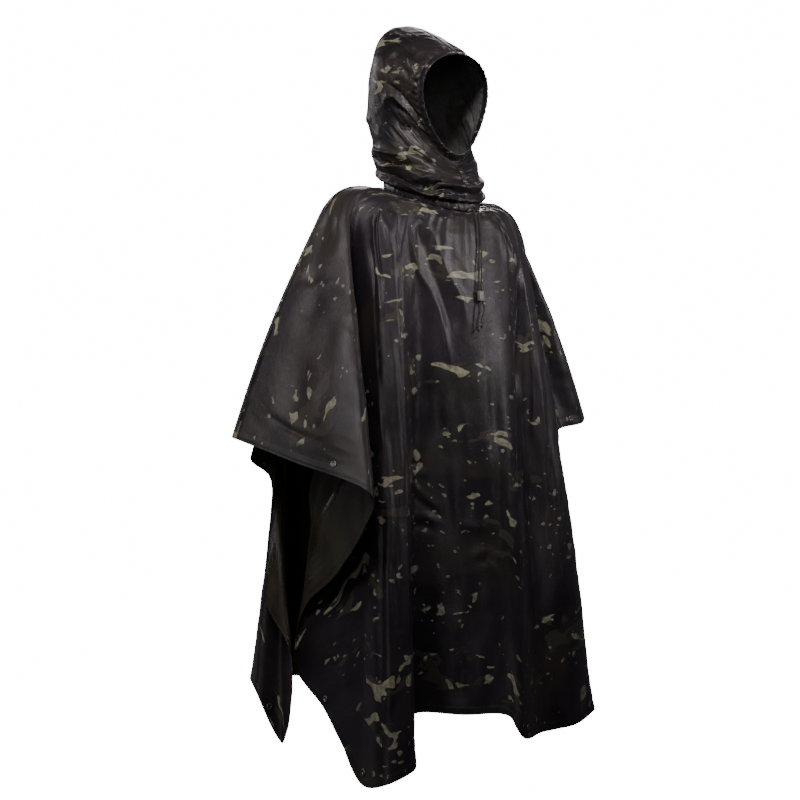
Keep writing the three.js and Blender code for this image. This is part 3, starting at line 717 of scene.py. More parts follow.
class Nodes:
    """Adds nodes to a material and links them in one call."""

    def __init__(self, material):
        self.tree = material.node_tree
        self.shader = self.tree.nodes["Principled BSDF"]

    def link(self, out, socket):
        self.tree.links.new(out, self.shader.inputs[socket])

    def ramp(self, factor, low, high, to_low=0.0, to_high=1.0):
        """A smooth step from one value at low to another at high."""
        node = self.tree.nodes.new("ShaderNodeMapRange")
        node.interpolation_type = "SMOOTHSTEP"
        for key, value in (("From Min", low), ("From Max", high), ("To Min", to_low), ("To Max", to_high)):
            node.inputs[key].default_value = value
        self.tree.links.new(factor, node.inputs["Value"])
        return node.outputs["Result"]

    def math(self, operation, a, b):
        node = self.tree.nodes.new("ShaderNodeMath")
        node.operation = operation
        for socket, value in zip(node.inputs, (a, b)):
            if isinstance(value, (int, float)):
                socket.default_value = value
            else:
                self.tree.links.new(value, socket)
        return node.outputs[0]

    def mix_color(self, factor, a, b):
        node = self.tree.nodes.new("ShaderNodeMix")
        node.data_type = "RGBA"
        if isinstance(factor, (int, float)):
            node.inputs[0].default_value = factor
        else:
            self.tree.links.new(factor, node.inputs[0])
        for socket, value in zip((node.inputs[6], node.inputs[7]), (a, b)):
            if isinstance(value, tuple):
                socket.default_value = (*value, 1.0)
            else:
                self.tree.links.new(value, socket)
        return node.outputs[2]

    def noise(self, vector, scale, detail=2.0, roughness=0.5, distortion=0.0, kind="FBM"):
        node = self.tree.nodes.new("ShaderNodeTexNoise")
        node.noise_type = kind
        values = {"Scale": scale, "Detail": detail, "Roughness": roughness, "Distortion": distortion}
        for key, value in values.items():
            node.inputs[key].default_value = value
        self.tree.links.new(vector, node.inputs["Vector"])
        return node.outputs["Fac"]

    def placed(self, vector, scale=(1, 1, 1), location=(0, 0, 0), turn=0.0):
        node = self.tree.nodes.new("ShaderNodeMapping")
        node.inputs["Scale"].default_value = scale
        node.inputs["Location"].default_value = location
        node.inputs["Rotation"].default_value = (0, 0, math.radians(turn))
        self.tree.links.new(vector, node.inputs["Vector"])
        return node.outputs["Vector"]

    def on_cut(self):
        """The place on the flat cut."""
        node = self.tree.nodes.new("ShaderNodeUVMap")
        node.uv_map = "cloth"
        return node.outputs["UV"]

    def in_space(self):
        return self.tree.nodes.new("ShaderNodeTexCoord").outputs["Object"]

    def bump(self, height, distance, strength=1.0, onto=None):
        node = self.tree.nodes.new("ShaderNodeBump")
        node.inputs["Strength"].default_value = strength
        node.inputs["Distance"].default_value = distance
        self.tree.links.new(height, node.inputs["Height"])
        if onto is not None:
            self.tree.links.new(onto, node.inputs["Normal"])
        return node.outputs["Normal"]


# %% Colours and weave
BLACK = (0.0170, 0.0134, 0.0168)
# The next colour is the print's deepest tone; on the hood it covers most of the cloth as painted shade.
DEEP_TONE_AND_SHADE = (0.0076, 0.0060, 0.0076)
OLIVE_BROWN = (0.031, 0.0265, 0.0180)
FLECK = (0.27, 0.265, 0.180)
FLECK_WORN = (0.165, 0.160, 0.110)
FLECK_DIM = (0.050, 0.045, 0.032)
WEAVE_PITCH = 0.0009


def weave(nodes, vector, pitch):
    """The fine plain weave, as height."""
    waves = []
    for turn in (0, 90):
        wave = nodes.tree.nodes.new("ShaderNodeTexWave")
        wave.inputs["Scale"].default_value = 0.314 / pitch
        wave.inputs["Distortion"].default_value = 0.0
        nodes.tree.links.new(nodes.placed(vector, turn=turn), wave.inputs["Vector"])
        waves.append(wave.outputs["Fac"])
    return nodes.math("MULTIPLY", waves[0], waves[1])


# %% The printed cloth


def camouflage_cloth(name, offset, on_object=False, size=1.0, deep_tone_and_shade_from=0.50):
    """The print, drawn on the flat cut, or in space where a piece is too curved for its flat cut."""
    material = principled(name, BLACK, 0.4, Specular_IOR_Level=0.36)
    nodes = Nodes(material)
    source = nodes.in_space() if on_object else nodes.on_cut()
    flat = nodes.placed(source, location=offset)

    def pattern(wide, tall, shift, detail, distortion, low, high):
        scale = (wide / size, wide / size, tall / size) if on_object else (wide / size, tall / size, 1)
        spots = nodes.noise(nodes.placed(flat, scale, shift), 1.0, detail, 0.5, distortion)
        return nodes.ramp(spots, low, high)

    dim = pattern(3.0, 5.5, (0, 0, 0), 3.0, 0.3, 0.50, 0.62)
    # The deepest tone of the print, in random patches. A lower threshold spreads it over most of the piece;
    # on the hood that is painted shade, darkening the whole hood.
    depth = pattern(4.0, 6.5, (5.3, 1.7, 0.4), 3.0, 0.3, deep_tone_and_shade_from, deep_tone_and_shade_from + 0.08)
    clusters = pattern(4.4, 11.5, (2.1, 8.4, 0.9), 2.0, 0.2, 0.548, 0.562)
    islands = pattern(19, 43, (0, 0, 0), 1.3, 0.6, 0.598, 0.607)
    loose = pattern(5.5, 9.0, (9.2, 3.3, 1.1), 2.0, 0.2, 0.50, 0.52)
    crumbs = pattern(48, 76, (1.7, 6.1, 0.2), 1.0, 0.3, 0.685, 0.695)
    shades = pattern(13, 28, (3.0, 4.0, 0.7), 2.0, 0.3, 0.53, 0.55)
    grit = pattern(90, 120, (0, 0, 0), 2.0, 0.0, 0.40, 0.60)
    ground = nodes.mix_color(nodes.math("MULTIPLY", depth, 0.8), BLACK, DEEP_TONE_AND_SHADE)
    ground = nodes.mix_color(nodes.math("MULTIPLY", dim, 0.6), ground, OLIVE_BROWN)
    around = nodes.math("MULTIPLY", shades, clusters)
    ground = nodes.mix_color(nodes.math("MULTIPLY", around, 0.6), ground, FLECK_DIM)
    specks = nodes.math("MULTIPLY", nodes.math("MULTIPLY", crumbs, 0.8), loose)
    flecks = nodes.math("MAXIMUM", nodes.math("MULTIPLY", islands, clusters), specks)
    worn = nodes.mix_color(grit, FLECK_WORN, FLECK)
    color = nodes.mix_color(flecks, ground, worn)
    nodes.link(color, "Base Color")
    gloss = nodes.ramp(nodes.noise(nodes.placed(flat, (9, 3, 4)), 1.0, 3.0, 0.6, 0.3), 0.3, 0.7, 0.36, 0.50)
    nodes.link(gloss, "Roughness")
    creased = nodes.noise(nodes.placed(flat, (1.0, 0.7, 0.7)), 17.0, 3.0, 0.5, 0.5, "RIDGED_MULTIFRACTAL")
    fine = nodes.noise(flat, 70.0, 4.0, 0.62, 0.2)
    normal = nodes.bump(fine, 0.0011, 0.6, nodes.bump(creased, 0.0028, 0.65))
    nodes.link(nodes.bump(weave(nodes, flat, WEAVE_PITCH), 0.00006, 0.5, normal), "Normal")
    nodes.shader.inputs["Sheen Weight"].default_value = 0.06
    nodes.shader.inputs["Sheen Roughness"].default_value = 0.4
    nodes.shader.inputs["Sheen Tint"].default_value = (0.82, 0.66, 0.86, 1.0)
    return material


# %% The coated inside


def coated_inside(name, dark, light):
    material = principled(name, light, 0.22, Specular_IOR_Level=0.6)
    nodes = Nodes(material)
    flat = nodes.on_cut()
    tone = nodes.ramp(nodes.noise(nodes.placed(flat, (5, 9, 1)), 1.0, 3.0, 0.55, 0.5), 0.35, 0.7)
    nodes.link(nodes.mix_color(tone, dark, light), "Base Color")
    nodes.link(nodes.bump(nodes.noise(flat, 80.0, 3.0, 0.6, 0.2), 0.001, 0.5), "Normal")
    return material


# %% [markdown]
# Each half has its own place in the print, so the pattern doesn't match across a seam.

# %% Build the two halves
front_cloth = camouflage_cloth("camouflage_nylon_front", (0.0, 0.0, 0.0))
back_cloth = camouflage_cloth("camouflage_nylon_back", (3.7, 2.2, 0.0))
inner_cloth = coated_inside("olive_coating", (0.020, 0.018, 0.010), (0.046, 0.041, 0.023))

front_panel = Panel("front", FRONT_LINES, -1, (9, 19))
front_piece = front_panel.build(FRONT_CREASES, 3.0, front_cloth, inner_cloth)
back_panel = Panel("back", BACK_LINES, 1, (8, 20))
back_piece = back_panel.build(BACK_CREASES, 11.0, back_cloth, inner_cloth)
for piece, node in ((front_piece, "body_front"), (back_piece, "body_back")):
    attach(piece, BODY)
    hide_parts(node)
    print(piece.name, "faces", len(piece.data.polygons))


# %% [markdown]
# ## The hood
# The hood is two side panels sewn along the crown, down the nape and under the chin. Its form is a bent tube
# of rings from the neck to the face, slack round the neck where the cloth slouches into rolls. The cloth's
# own creases are laid on it as they are on the body.

# %% Hood rings, in millimetres
# name, front y, front z, crown y, crown z, half-width, how far the sides bow back, egg shape
HOOD_RINGS = [
    ("neck seam", -98, -21.4, 98, 41.4, 88, 0, 0),
    ("neck slouch", -107, -10, 120, 58, 100, -3, 0),
    ("neck tuck", -101, 4, 122, 78, 96, 0, 0),
    ("cowl roll", -108, 17, 136, 100, 102, -5, 0),
    ("cowl tuck", -97, 30, 139, 136, 97, 0, 0.02),
    ("cheek roll", -92, 42, 142, 190, 101, 0, 0.06),
    ("ear", -84, 52, 138, 246, 99, 3, 0.1),
    ("back of crown", -78, 57, 121, 305, 98, 5, 0.16),
    ("crown", -74, 61, 86, 350, 97, 8, 0.22),
    ("brow roll", -72, 65, 22, 334, 92, 11, 0.28),
    ("brow", -70, 69, -33, 305, 85, 14, 0.32),
    ("face seam", -69, 72, -76, 276, 79, 15, 0.34),
]
LAST_RING = len(HOOD_RINGS) - 1
HOOD_LIFT = NECK["casing_height"] / 2 + 1.2
HOOD_GRID = (110, 170)
RING_ROUND = 0.1
RING_STEP = 0.034
HOOD_HALF_ROUND = math.pi * RING_ROUND
HOOD_RUN = RING_STEP * LAST_RING

ring_fronts = [Vector((0, ring[1], ring[2])) for ring in HOOD_RINGS]
ring_crowns = [Vector((0, ring[3], ring[4])) for ring in HOOD_RINGS]
ring_shapes = [Vector((ring[5], ring[6], ring[7] * 100)) for ring in HOOD_RINGS]


def hood_point(v, angle, grow=0.0):
    """A point in millimetres: v counts rings, and the angle is 0 in front and pi at the crown."""
    front, crown, shape = (spline_point(points, v) for points in (ring_fronts, ring_crowns, ring_shapes))
    reach = (front - crown) * 0.5
    length = reach.length
    reach = reach.normalized()
    back = Vector((0, -reach.z, reach.y))
    wide = (shape.x + grow) * math.sin(angle) * (1 - shape.z / 100 * math.cos(angle))
    bow = shape.y * math.sin(angle) ** 2
    middle = (front + crown) * 0.5
    return middle + reach * (length + grow) * math.cos(angle) + back * bow + Vector((wide, 0, 0))


# %% Hood creases, in millimetres
# name, half-width, depth, and the places, counted round from the chin and up from the neck
HOOD_CREASES = {
    "hood_right": [
        ("cheek ridge", 6, -5, [(160, 235), (150, 285), (132, 315), (112, 330), (96, 362)]),
        ("above the cheek ridge", 7, 5.6, [(170, 270), (160, 305), (140, 335), (118, 352)]),
        ("below the cheek ridge", 6, 3.4, [(138, 265), (125, 300), (108, 320)]),
        ("leaf fold", 6.5, -5, [(127, 225), (111, 212), (100, 205), (85, 200), (60, 188)]),
        ("leaf shadow", 7, 5, [(124, 235), (113, 255), (103, 275)]),
        ("under the leaf", 8, 6, [(118, 172), (98, 185), (80, 186), (60, 176)]),
        ("overhang", 9, 9, [(215, 100), (180, 108), (150, 118), (120, 132), (90, 152)]),
        ("lip of the overhang", 8, -5.6, [(210, 128), (170, 138), (140, 148), (115, 158)]),
        ("under the overhang", 6, -4.2, [(190, 88), (160, 95), (130, 108), (100, 128)]),
        ("cowl hollow", 9, 6.6, [(155, 75), (130, 72), (110, 60), (94, 42)]),
        ("cowl edge", 7, -5.2, [(185, 58), (150, 52), (120, 44), (95, 32), (70, 30)]),
        ("V of the cowl", 7, 5.6, [(92, 45), (75, 72), (58, 98), (40, 120)]),
        ("V ridge", 6, -4.4, [(105, 75), (90, 95), (70, 115), (50, 135)]),
        ("throat ridge", 6, -4.8, [(82, 22), (62, 40), (45, 56), (28, 64)]),
        ("throat hollow", 7, 5.2, [(70, 56), (50, 74), (30, 86)]),
        ("crown crease", 5.5, 5, [(246, 290), (240, 320), (228, 345)]),
        ("crown ridge", 6, -3.6, [(262, 285), (258, 315), (248, 345)]),
        ("temple hollow", 9, 5.2, [(220, 305), (205, 330), (190, 350)]),
        ("temple ridge", 6, -4, [(232, 330), (214, 352), (196, 364)]),
        ("nape fold 1", 8, 5.4, [(275, 245), (262, 220), (250, 190)]),
        ("nape fold 2", 8, -4.6, [(240, 160), (220, 175), (190, 180)]),
        ("nape fold 3", 9, 5.6, [(260, 100), (240, 125), (210, 150)]),
        ("rim pucker 1", 5, 3.4, [(205, 335), (203, 352), (206, 367)]),
        ("rim pucker 2", 5, 3.4, [(172, 338), (170, 353), (168, 367)]),
        ("rim pucker 3", 5, 3, [(135, 345), (130, 356), (127, 368)]),
        ("rim pucker 4", 5, 3.2, [(80, 335), (74, 350), (70, 367)]),
    ],
    "hood_left": [
        ("cheek ridge", 7, -4.8, [(170, 240), (155, 280), (130, 310), (110, 345)]),
        ("below the cheek ridge", 8, 5.2, [(150, 230), (135, 265), (115, 300)]),
        ("overhang", 9, 8.4, [(220, 110), (180, 105), (140, 120), (100, 148)]),
        ("lip of the overhang", 8, -5.4, [(215, 138), (170, 134), (130, 150), (100, 170)]),
        ("cowl edge", 7, -5, [(190, 50), (150, 58), (110, 45), (75, 30)]),
        ("cowl hollow", 9, 6.2, [(170, 76), (130, 76), (100, 62), (80, 48)]),
        ("throat ridge", 6, -4.6, [(80, 60), (55, 75), (30, 100)]),
        ("crown crease", 6, 4.8, [(250, 280), (235, 310), (225, 340)]),
        ("nape fold", 8, 5.2, [(270, 220), (250, 185), (225, 165)]),
    ],
}

# %% A side of the hood


def hood_frame(v, angle, side):
    """A point of the hood in metres and its outward normal."""
    step = 0.02
    p = hood_point(v, side * angle)
    round_it = hood_point(v, side * (angle + step)) - hood_point(v, side * (angle - step))
    up_it = hood_point(min(v + step, LAST_RING), side * angle) - hood_point(max(v - step, 0), side * angle)
    normal = round_it.cross(up_it).normalized()
    lift = Vector((0, 0, max(0.0, 1 - v) * HOOD_LIFT))
    middle = (spline_point(ring_fronts, v) + spline_point(ring_crowns, v)) * 0.5
    if normal.dot(p - middle) < 0:
        normal = -normal
    return (p + lift) * MM, normal


def hood_side(name, side, cloth):
    creases = prepared(HOOD_CREASES[name])
    bm = cloth_grid(*HOOD_GRID)
    flat_of, normal_of = {}, {}
    for vert in bm.verts:
        angle = math.pi * (vert.co.x + 1) / 2
        v = LAST_RING * (vert.co.y + 1) / 2
        p, normal = hood_frame(v, angle, side)
        s, t = RING_ROUND * angle, RING_STEP * v
        to_seam = min(s, HOOD_HALF_ROUND - s)
        to_rim = HOOD_RUN - t
        calm = min(1.0, to_seam / 0.012) * min(1.0, t / 0.006) * min(1.0, to_rim / 0.006)
        gathers = 0.0022 * math.exp(-t / 0.02) * math.sin(34 * angle + 2 * math.sin(5 * angle) + side)
        uneven = noise.noise(Vector((angle * 3.1, side * 2.0, 4.7)))
        deep = (0.0019 + 0.0026 * uneven) * math.exp(-to_rim / 0.016)
        gathers += deep * math.sin(39 * angle + 3 * math.sin(4 * angle) + 6 * uneven + side)
        bunched = math.exp(-to_rim / 0.04) + 0.8 * math.exp(-t / 0.05)
        crumple = (0.0026 + 0.0056 * bunched) * crinkle(s * 1.2 + side, t * 1.3, 23.0, 30.0)
        worn = 0.6 * ripple(s * 1.4 + side, t * 2.0, 23.0) - crease_depth(creases, s, t)
        vert.co = p + normal * (gathers + crumple + worn) * calm
        if calm == 0.0 and to_seam < 0.0001:
            vert.co.x = side * SEAM_GAP / 2 * MM
        flat_of[vert], normal_of[vert] = (side * s, t), normal
    lay_on_cut(bm, flat_of)
    face_outwards(bm, lambda face: normal_of[face.verts[0]])
    piece = new_object(name + "_panel", bm, cloth, hood_lining_painted_light)
    solid = thicken(piece, "cloth thickness", SHELL * MM)
    solid.material_offset = 1
    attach(piece, BODY)
    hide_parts(name)
    return piece


# %% Build the hood
# The hood's cloth takes the print's deepest tone over most of its face: painted shade that makes the hood
# darker than the body.
hood_cloth_painted_shade = camouflage_cloth("camouflage_nylon_hood_painted_shade", (7.1, 5.3, 2.6), True, size=0.62, deep_tone_and_shade_from=0.34)
# The hood's inside coating is a much lighter grey than the body's olive coating: painted light that lifts the
# shade inside the hood.
hood_lining_painted_light = coated_inside("hood_coating_painted_light", (0.10, 0.098, 0.094), (0.13, 0.127, 0.121))
hood_pieces = [hood_side("hood_right", -1, hood_cloth_painted_shade), hood_side("hood_left", 1, hood_cloth_painted_shade)]
print("hood faces", [len(piece.data.polygons) for piece in hood_pieces])

# %% [markdown]
# ## The gathered casings
# A casing is a doubled strip that a cord runs through, so it is a soft round band whose cloth is bunched into
# uneven little ruffles. One stands between the cape and the hood, the other round the face opening.

# %% Casings
RUFFLES = 37
RUFFLE_DEPTH = 1.3
CASING_GRID = (560, 10)
STRIP_CUT = (0.9, 0.036)
FACE_CASING_WIDTH = 14.4


def bunching(turn, across):
    """Uneven ruffles, in millimetres: deepest at the band's edges."""
    coarse = math.sin(RUFFLES * turn + 0.9 * math.sin(4 * turn))
    fine = math.sin(71 * turn + 2.2 * math.sin(6 * turn) + 3 * across)
    uneven = 0.7 + 0.5 * math.sin(5 * turn + 2.0) * math.sin(3 * turn)
    return RUFFLE_DEPTH * uneven * (0.6 * coarse + 0.5 * fine) * (0.55 + 0.45 * abs(2 * across - 1))


def band(name, point_at, thickness, cloth, *nodes):
    """A closed band from a function of the turn and the share across it."""
    bm = cloth_grid(*CASING_GRID)
    half_long, half_wide = STRIP_CUT[0] / 2, STRIP_CUT[1] / 2
    lay_on_cut(bm, {vert: ((vert.co.x + 1) * half_long, (vert.co.y + 1) * half_wide) for vert in bm.verts})
    for vert in bm.verts:
        turn = math.pi * (vert.co.x + 1)
        vert.co = point_at(turn % (2 * math.pi), (vert.co.y + 1) / 2)
    bmesh.ops.remove_doubles(bm, verts=bm.verts, dist=0.00001)
    centre = sum((vert.co for vert in bm.verts), Vector()) / len(bm.verts)
    face_outwards(bm, lambda face: face.calc_center_median() - centre)
    piece = new_object(name + "_band", bm, cloth)
    thicken(piece, "doubled cloth", thickness * MM)
    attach(piece, BODY)
    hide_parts(*nodes)
    return piece


# %% Where the two casings lie


def neck_band_point(turn, across):
    level = across - 0.5
    swell = 1.5 * (1 - (2 * level) ** 2) - 0.5
    grow = 1 + (bunching(turn, across) + swell) / NECK["half_depth"]
    y = -NECK["half_depth"] * math.cos(turn)
    z = NECK["middle_z"] + NECK["tilt"] * y + level * (NECK["casing_height"] + 0.6)
    return Vector((NECK["half_width"] * math.sin(turn) * grow, y * grow, z)) * MM


def face_band_point(turn, across):
    rim = hood_point(LAST_RING, turn)
    run = (rim - hood_point(LAST_RING - 0.25, turn)).normalized()
    forward = run.lerp(Vector((0, -1, 0)), 0.55).normalized()
    outward = (rim - hood_point(LAST_RING, turn, -1.0)).normalized()
    swell = 1.5 * (1 - (2 * across - 1) ** 2)
    along = FACE_CASING_WIDTH * across - 1.0
    return (rim + forward * along + outward * (bunching(turn, across) * across + swell)) * MM


# %% Build the casings
casing_cloth = camouflage_cloth("camouflage_nylon_casing", (1.9, 9.4, 3.1), on_object=True, size=0.5)
neck_band = band("neck_casing", neck_band_point, 3.2, casing_cloth, "neck_casing")
face_band = band("face_casing", face_band_point, 2.4, casing_cloth, "face_casing")
print("casing faces", len(neck_band.data.polygons), len(face_band.data.polygons))

# %% [markdown]
# ## Seams
# The two halves meet in a flat-felled seam along each shoulder and arm: a narrow folded strip that stands a
# little proud of the cloth. The hood has the same seam over the crown and under the chin. Each is made from
# the points of the panels that it joins, moved out.

# %% Seam strips
SEAM_HALF = 0.0055
SEAM_PROUD = 0.0011
SEAM_THICK = 0.0007
SEAM_CUT_STEP = (0.003, 0.006)
ARM_SEAM_STEPS = 140
HOOD_SEAM_STEPS = 160


def strip(name, rows, cloth):
    """A narrow band of cloth through rows of points."""
    last_row, last_column = len(rows) - 1, len(rows[0]) - 1
    bm = cloth_grid(last_column, last_row)
    flat_of = {}
    for vert in bm.verts:
        j = round((vert.co.x + 1) / 2 * last_column)
        i = round((vert.co.y + 1) / 2 * last_row)
        flat_of[vert] = (j * SEAM_CUT_STEP[0], i * SEAM_CUT_STEP[1])
        vert.co = rows[i][j]
    lay_on_cut(bm, flat_of)
    piece = new_object(name, bm, cloth)
    thicken(piece, "folded cloth", SEAM_THICK)
    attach(piece, BODY)


def arm_seam_rows(side):
    """Points across the ridge along one arm, from the neck to the sleeve's edge, and the way outwards."""
    rows, outs = [], []
    k_front = 0 if side < 0 else len(FRONT_LINES) - 1
    k_back = 0 if side < 0 else len(BACK_LINES) - 1
    step = 0.2 if side < 0 else -0.2
    for i in range(ARM_SEAM_STEPS + 1):
        w = 0.015 + 0.985 * i / ARM_SEAM_STEPS
        middle = front_panel.surface(k_front, w)
        to_front = (front_panel.surface(k_front + step, w) - middle).normalized()
        to_back = (back_panel.surface(k_back + step, w) - middle).normalized()
        out = -(to_front + to_back)
        out = (out + Vector((side * 0.2, 0, 0.4))).normalized()
        outs.append(out)
        edge, ridge = middle + out * SEAM_PROUD, middle + out * SEAM_PROUD * 1.3
        front, back = to_front * SEAM_HALF, to_back * SEAM_HALF
        rows.append([edge + front, ridge + front * 0.5, ridge, ridge + back * 0.5, edge + back])
    return rows, outs


def hood_seam_rows(angle):
    rows, outs = [], []
    for i in range(HOOD_SEAM_STEPS + 1):
        v = 0.1 + (LAST_RING - 0.1) * i / HOOD_SEAM_STEPS
        p, normal = hood_frame(v, angle, 1)
        normal.x = 0.0
        normal.normalize()
        outs.append(normal)
        edge = p + normal * SEAM_PROUD
        rows.append([edge + Vector((x, 0, 0)) for x in (-0.0045, -0.0022, 0.0, 0.0022, 0.0045)])
    return rows, outs


# %% Build the seams
seam_paths = {
    "arm_seam_right": arm_seam_rows(-1),
    "arm_seam_left": arm_seam_rows(1),
    "hood_crown_seam": hood_seam_rows(math.pi),
    "hood_chin_seam": hood_seam_rows(0.0),
}
seam_cloth = camouflage_cloth("camouflage_nylon_seam", (4.4, 6.6, 0.0))
for seam_name, (rows, _) in seam_paths.items():
    strip(seam_name, rows, seam_cloth)
print("seams", len(seam_paths))

# %% [markdown]
# ## Stitching
# Each hem and seam has two rows of stitches in a dark thread. A stitch is one small slender bead, laid along
# the row and sunk halfway into the cloth.

# %% Stitches
STITCH_PITCH = 0.0048
STITCH_LONG = 0.0016
STITCH_THICK = 0.00034
STITCH_PROUD = 0.0012

thread = principled("thread", (0.030, 0.028, 0.031), 0.6)
thread_nodes = Nodes(thread)
twist = thread_nodes.noise(thread_nodes.in_space(), 2500.0, 2.0)
thread_nodes.link(thread_nodes.bump(twist, 0.0002, 0.6), "Normal")


def add_stitches(bm, path):
    """Stitches at an even pitch along a path of points with outward normals."""
    along, left = 0.0, STITCH_PITCH / 2
    for (a, out), (b, _) in zip(path, path[1:]):
        length = (b - a).length
        if length < 1e-7:
            continue
        run = (b - a) / length
        side = out.cross(run).normalized()
        up = run.cross(side)
        while left <= length:
            at = a + run * left
            axes = (run * STITCH_LONG, side * STITCH_THICK, up * STITCH_THICK)
            from_axes = [[axes[c][r] for c in range(3)] + [at[r]] for r in range(3)] + [[0, 0, 0, 1]]
            bmesh.ops.create_icosphere(bm, subdivisions=1, radius=1.0, matrix=Matrix(from_axes))
            left += STITCH_PITCH
            along += STITCH_PITCH
        left -= length
    return along


# %% Paths of the stitch rows


def panel_row(panel, from_edge):
    """A path along the panel's outer edge, a distance in from it."""
    w = 1.0 - from_edge / FOLD_LENGTH
    rows = [panel.row(w - 0.002), panel.row(w)]
    path = []
    for j in range(2, len(rows[1]) - 2):
        across = rows[1][j + 1] - rows[1][j - 1]
        out = (rows[1][j] - rows[0][j]).cross(across).normalized() * -panel.facing
        u, v = panel.flat(panel.places[j], w)
        height = ripple(u, v, panel.seed) - crease_depth(panel.creases, u, v) + STITCH_PROUD
        height += neck_crinkle(u, v, 1.0, panel.seed)
        path.append((rows[1][j] + out * height, out))
    return path


def row_paths(rows, outs):
    """The two stitch rows of a seam, near its edges."""
    return [[(row[j].lerp(row[2], 0.3) + out * 0.0005, out) for row, out in zip(rows, outs)] for j in (0, 4)]


def stitched(name, paths):
    bm = bmesh.new()
    total = sum(add_stitches(bm, path) for path in paths)
    piece = new_object(name, bm, thread)
    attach(piece, BODY)
    print(name, "metres of stitching", round(total, 2))


# %% Sew the hems and seams
for panel in (front_panel, back_panel):
    stitched(panel.name + "_hem_stitches", [panel_row(panel, from_edge) for from_edge in HEM_STITCHES])
stitched("seam_stitches", [path for rows, outs in seam_paths.values() for path in row_paths(rows, outs)])

# %% [markdown]
# ## Drawcord, knots and lock
# The cord is a thin round braid. Its two strands hang from the casing over the chest, through a small plastic
# lock, and each ends in an overhand knot.

# %% Cord finish
cord_finish = principled("braided_cord", (0.012, 0.012, 0.012), 0.75)
cord_nodes = Nodes(cord_finish)
braid = cord_nodes.noise(cord_nodes.placed(cord_nodes.in_space(), (1, 1, 0.6)), 1400.0, 2.0)
yarn = cord_nodes.ramp(braid, 0.4, 0.6)
cord_nodes.link(cord_nodes.mix_color(yarn, (0.008, 0.008, 0.008), (0.03, 0.03, 0.03)), "Base Color")
cord_nodes.link(cord_nodes.bump(braid, 0.0004, 0.8), "Normal")

# %% Shapes of the cords


def tube(name, points, radius, cyclic=False):
    curve = bpy.data.curves.new(name, "CURVE")
    curve.dimensions = "3D"
    curve.bevel_depth = radius
    curve.bevel_resolution = 3
    curve.use_fill_caps = True
    spline = curve.splines.new("POLY")
    spline.points.add(len(points) - 1)
    for place, p in zip(spline.points, points):
        place.co = (*p, 1.0)
    spline.use_cyclic_u = cyclic
    curve.materials.append(cord_finish)
    piece = bpy.data.objects.new(name, curve)
    bpy.context.scene.collection.objects.link(piece)
    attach(piece, BODY)
    return piece


def knot_points(at):
    """An overhand knot: a trefoil pulled tight."""
    points = []
    for i in range(KNOT_STEPS):
        t = 2 * math.pi * i / KNOT_STEPS
        x = math.sin(t) + 1.6 * math.sin(2 * t)
        y = math.cos(t) - 1.6 * math.cos(2 * t)
        z = -math.sin(3 * t)
        points.append((Vector(at) + Vector((x * 0.75, z * 0.95, y * 0.95))) * MM)
    return points


# %% Build the cords
for side, route in STRANDS.items():
    route_points = [Vector(p) for p in route]
    places = [(len(route) - 1) * i / STRAND_STEPS for i in range(STRAND_STEPS + 1)]
    path = [spline_point(route_points, place) * MM for place in places]
    strand = tube("drawcord_strand_" + side, path, CORD_RADIUS * MM)
    knot = tube("drawcord_knot_" + side, knot_points(KNOTS[side]), KNOT_CORD_RADIUS * MM, cyclic=True)
    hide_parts("drawcord_" + side)
    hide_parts("cord_knot_" + side)


# %% Lock finish
lock_plastic = principled("lock_plastic", (0.12, 0.117, 0.10), 0.42)
lock_nodes = Nodes(lock_plastic)
scuffs = lock_nodes.noise(lock_nodes.in_space(), 700.0, 3.0, 0.6)
lock_nodes.link(lock_nodes.mix_color(scuffs, (0.075, 0.072, 0.062), (0.16, 0.155, 0.138)), "Base Color")
lock_nodes.link(lock_nodes.bump(scuffs, 0.0001, 0.4), "Normal")

# %% Build the lock
lock_bm = bmesh.new()
lock_bm.from_mesh(bpy.data.objects["cord_lock"].data)
bmesh.ops.remove_doubles(lock_bm, verts=lock_bm.verts, dist=0.00001)
bmesh.ops.dissolve_limit(lock_bm, angle_limit=math.radians(3), verts=lock_bm.verts, edges=lock_bm.edges)
folded = [edge for edge in lock_bm.edges if len(edge.link_faces) == 2]
rims = [edge for edge in folded if edge.calc_face_angle() > math.radians(60)]
bmesh.ops.bevel(lock_bm, geom=rims, offset=0.0007, segments=3, profile=0.5, affect="EDGES", material=-1)
lock = new_object("cord_lock_barrel", lock_bm, lock_plastic)
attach(lock, BODY)
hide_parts("cord_lock")
print("lock faces", len(lock.data.polygons))

# %% [markdown]
# ## Snaps and eyelets
# Press studs along the side edges close the flaps, and eyelets stand at the hem's corners and middle. Each is
# a turned metal shape: a profile is drawn in edges and spun round its axis.

# %% Metal
blackened = principled("blackened_metal", (0.09, 0.088, 0.092), 0.34, Metallic=0.9)
metal_nodes = Nodes(blackened)
wear = metal_nodes.ramp(metal_nodes.noise(metal_nodes.in_space(), 420.0, 3.0, 0.6), 0.45, 0.7)
metal_nodes.link(metal_nodes.mix_color(wear, (0.16, 0.156, 0.158), (0.42, 0.41, 0.40)), "Base Color")
metal_nodes.link(metal_nodes.ramp(wear, 0.0, 1.0, 0.42, 0.28), "Roughness")
# A near-black disc in each eyelet's hole is painted shade: it stands for the dark seen through the hole.
hole_painted_shade = principled("eyelet_hole_painted_shade", (0.004, 0.004, 0.004), 0.9)

# %% Profiles, in millimetres
SNAP_PROFILE = [
    (0, 0), (5.8, 0), (6.2, 0.4), (6.0, 1.1), (5.3, 1.8), (4.5, 2.0), (3.8, 1.8), (3.3, 1.2), (3.0, 0.7),
    (1.5, 0.6), (1.2, 0.9), (0, 1.0),
]
EYELET_PROFILE = [(3.2, 0), (6.4, 0), (6.5, 0.4), (6.1, 1.0), (5.3, 1.5), (4.3, 1.6), (3.6, 1.35), (3.2, 0.9)]
HOLE_RADIUS = 3.3
HOLE_DEPTH = 0.2
SPIN_STEPS = 28

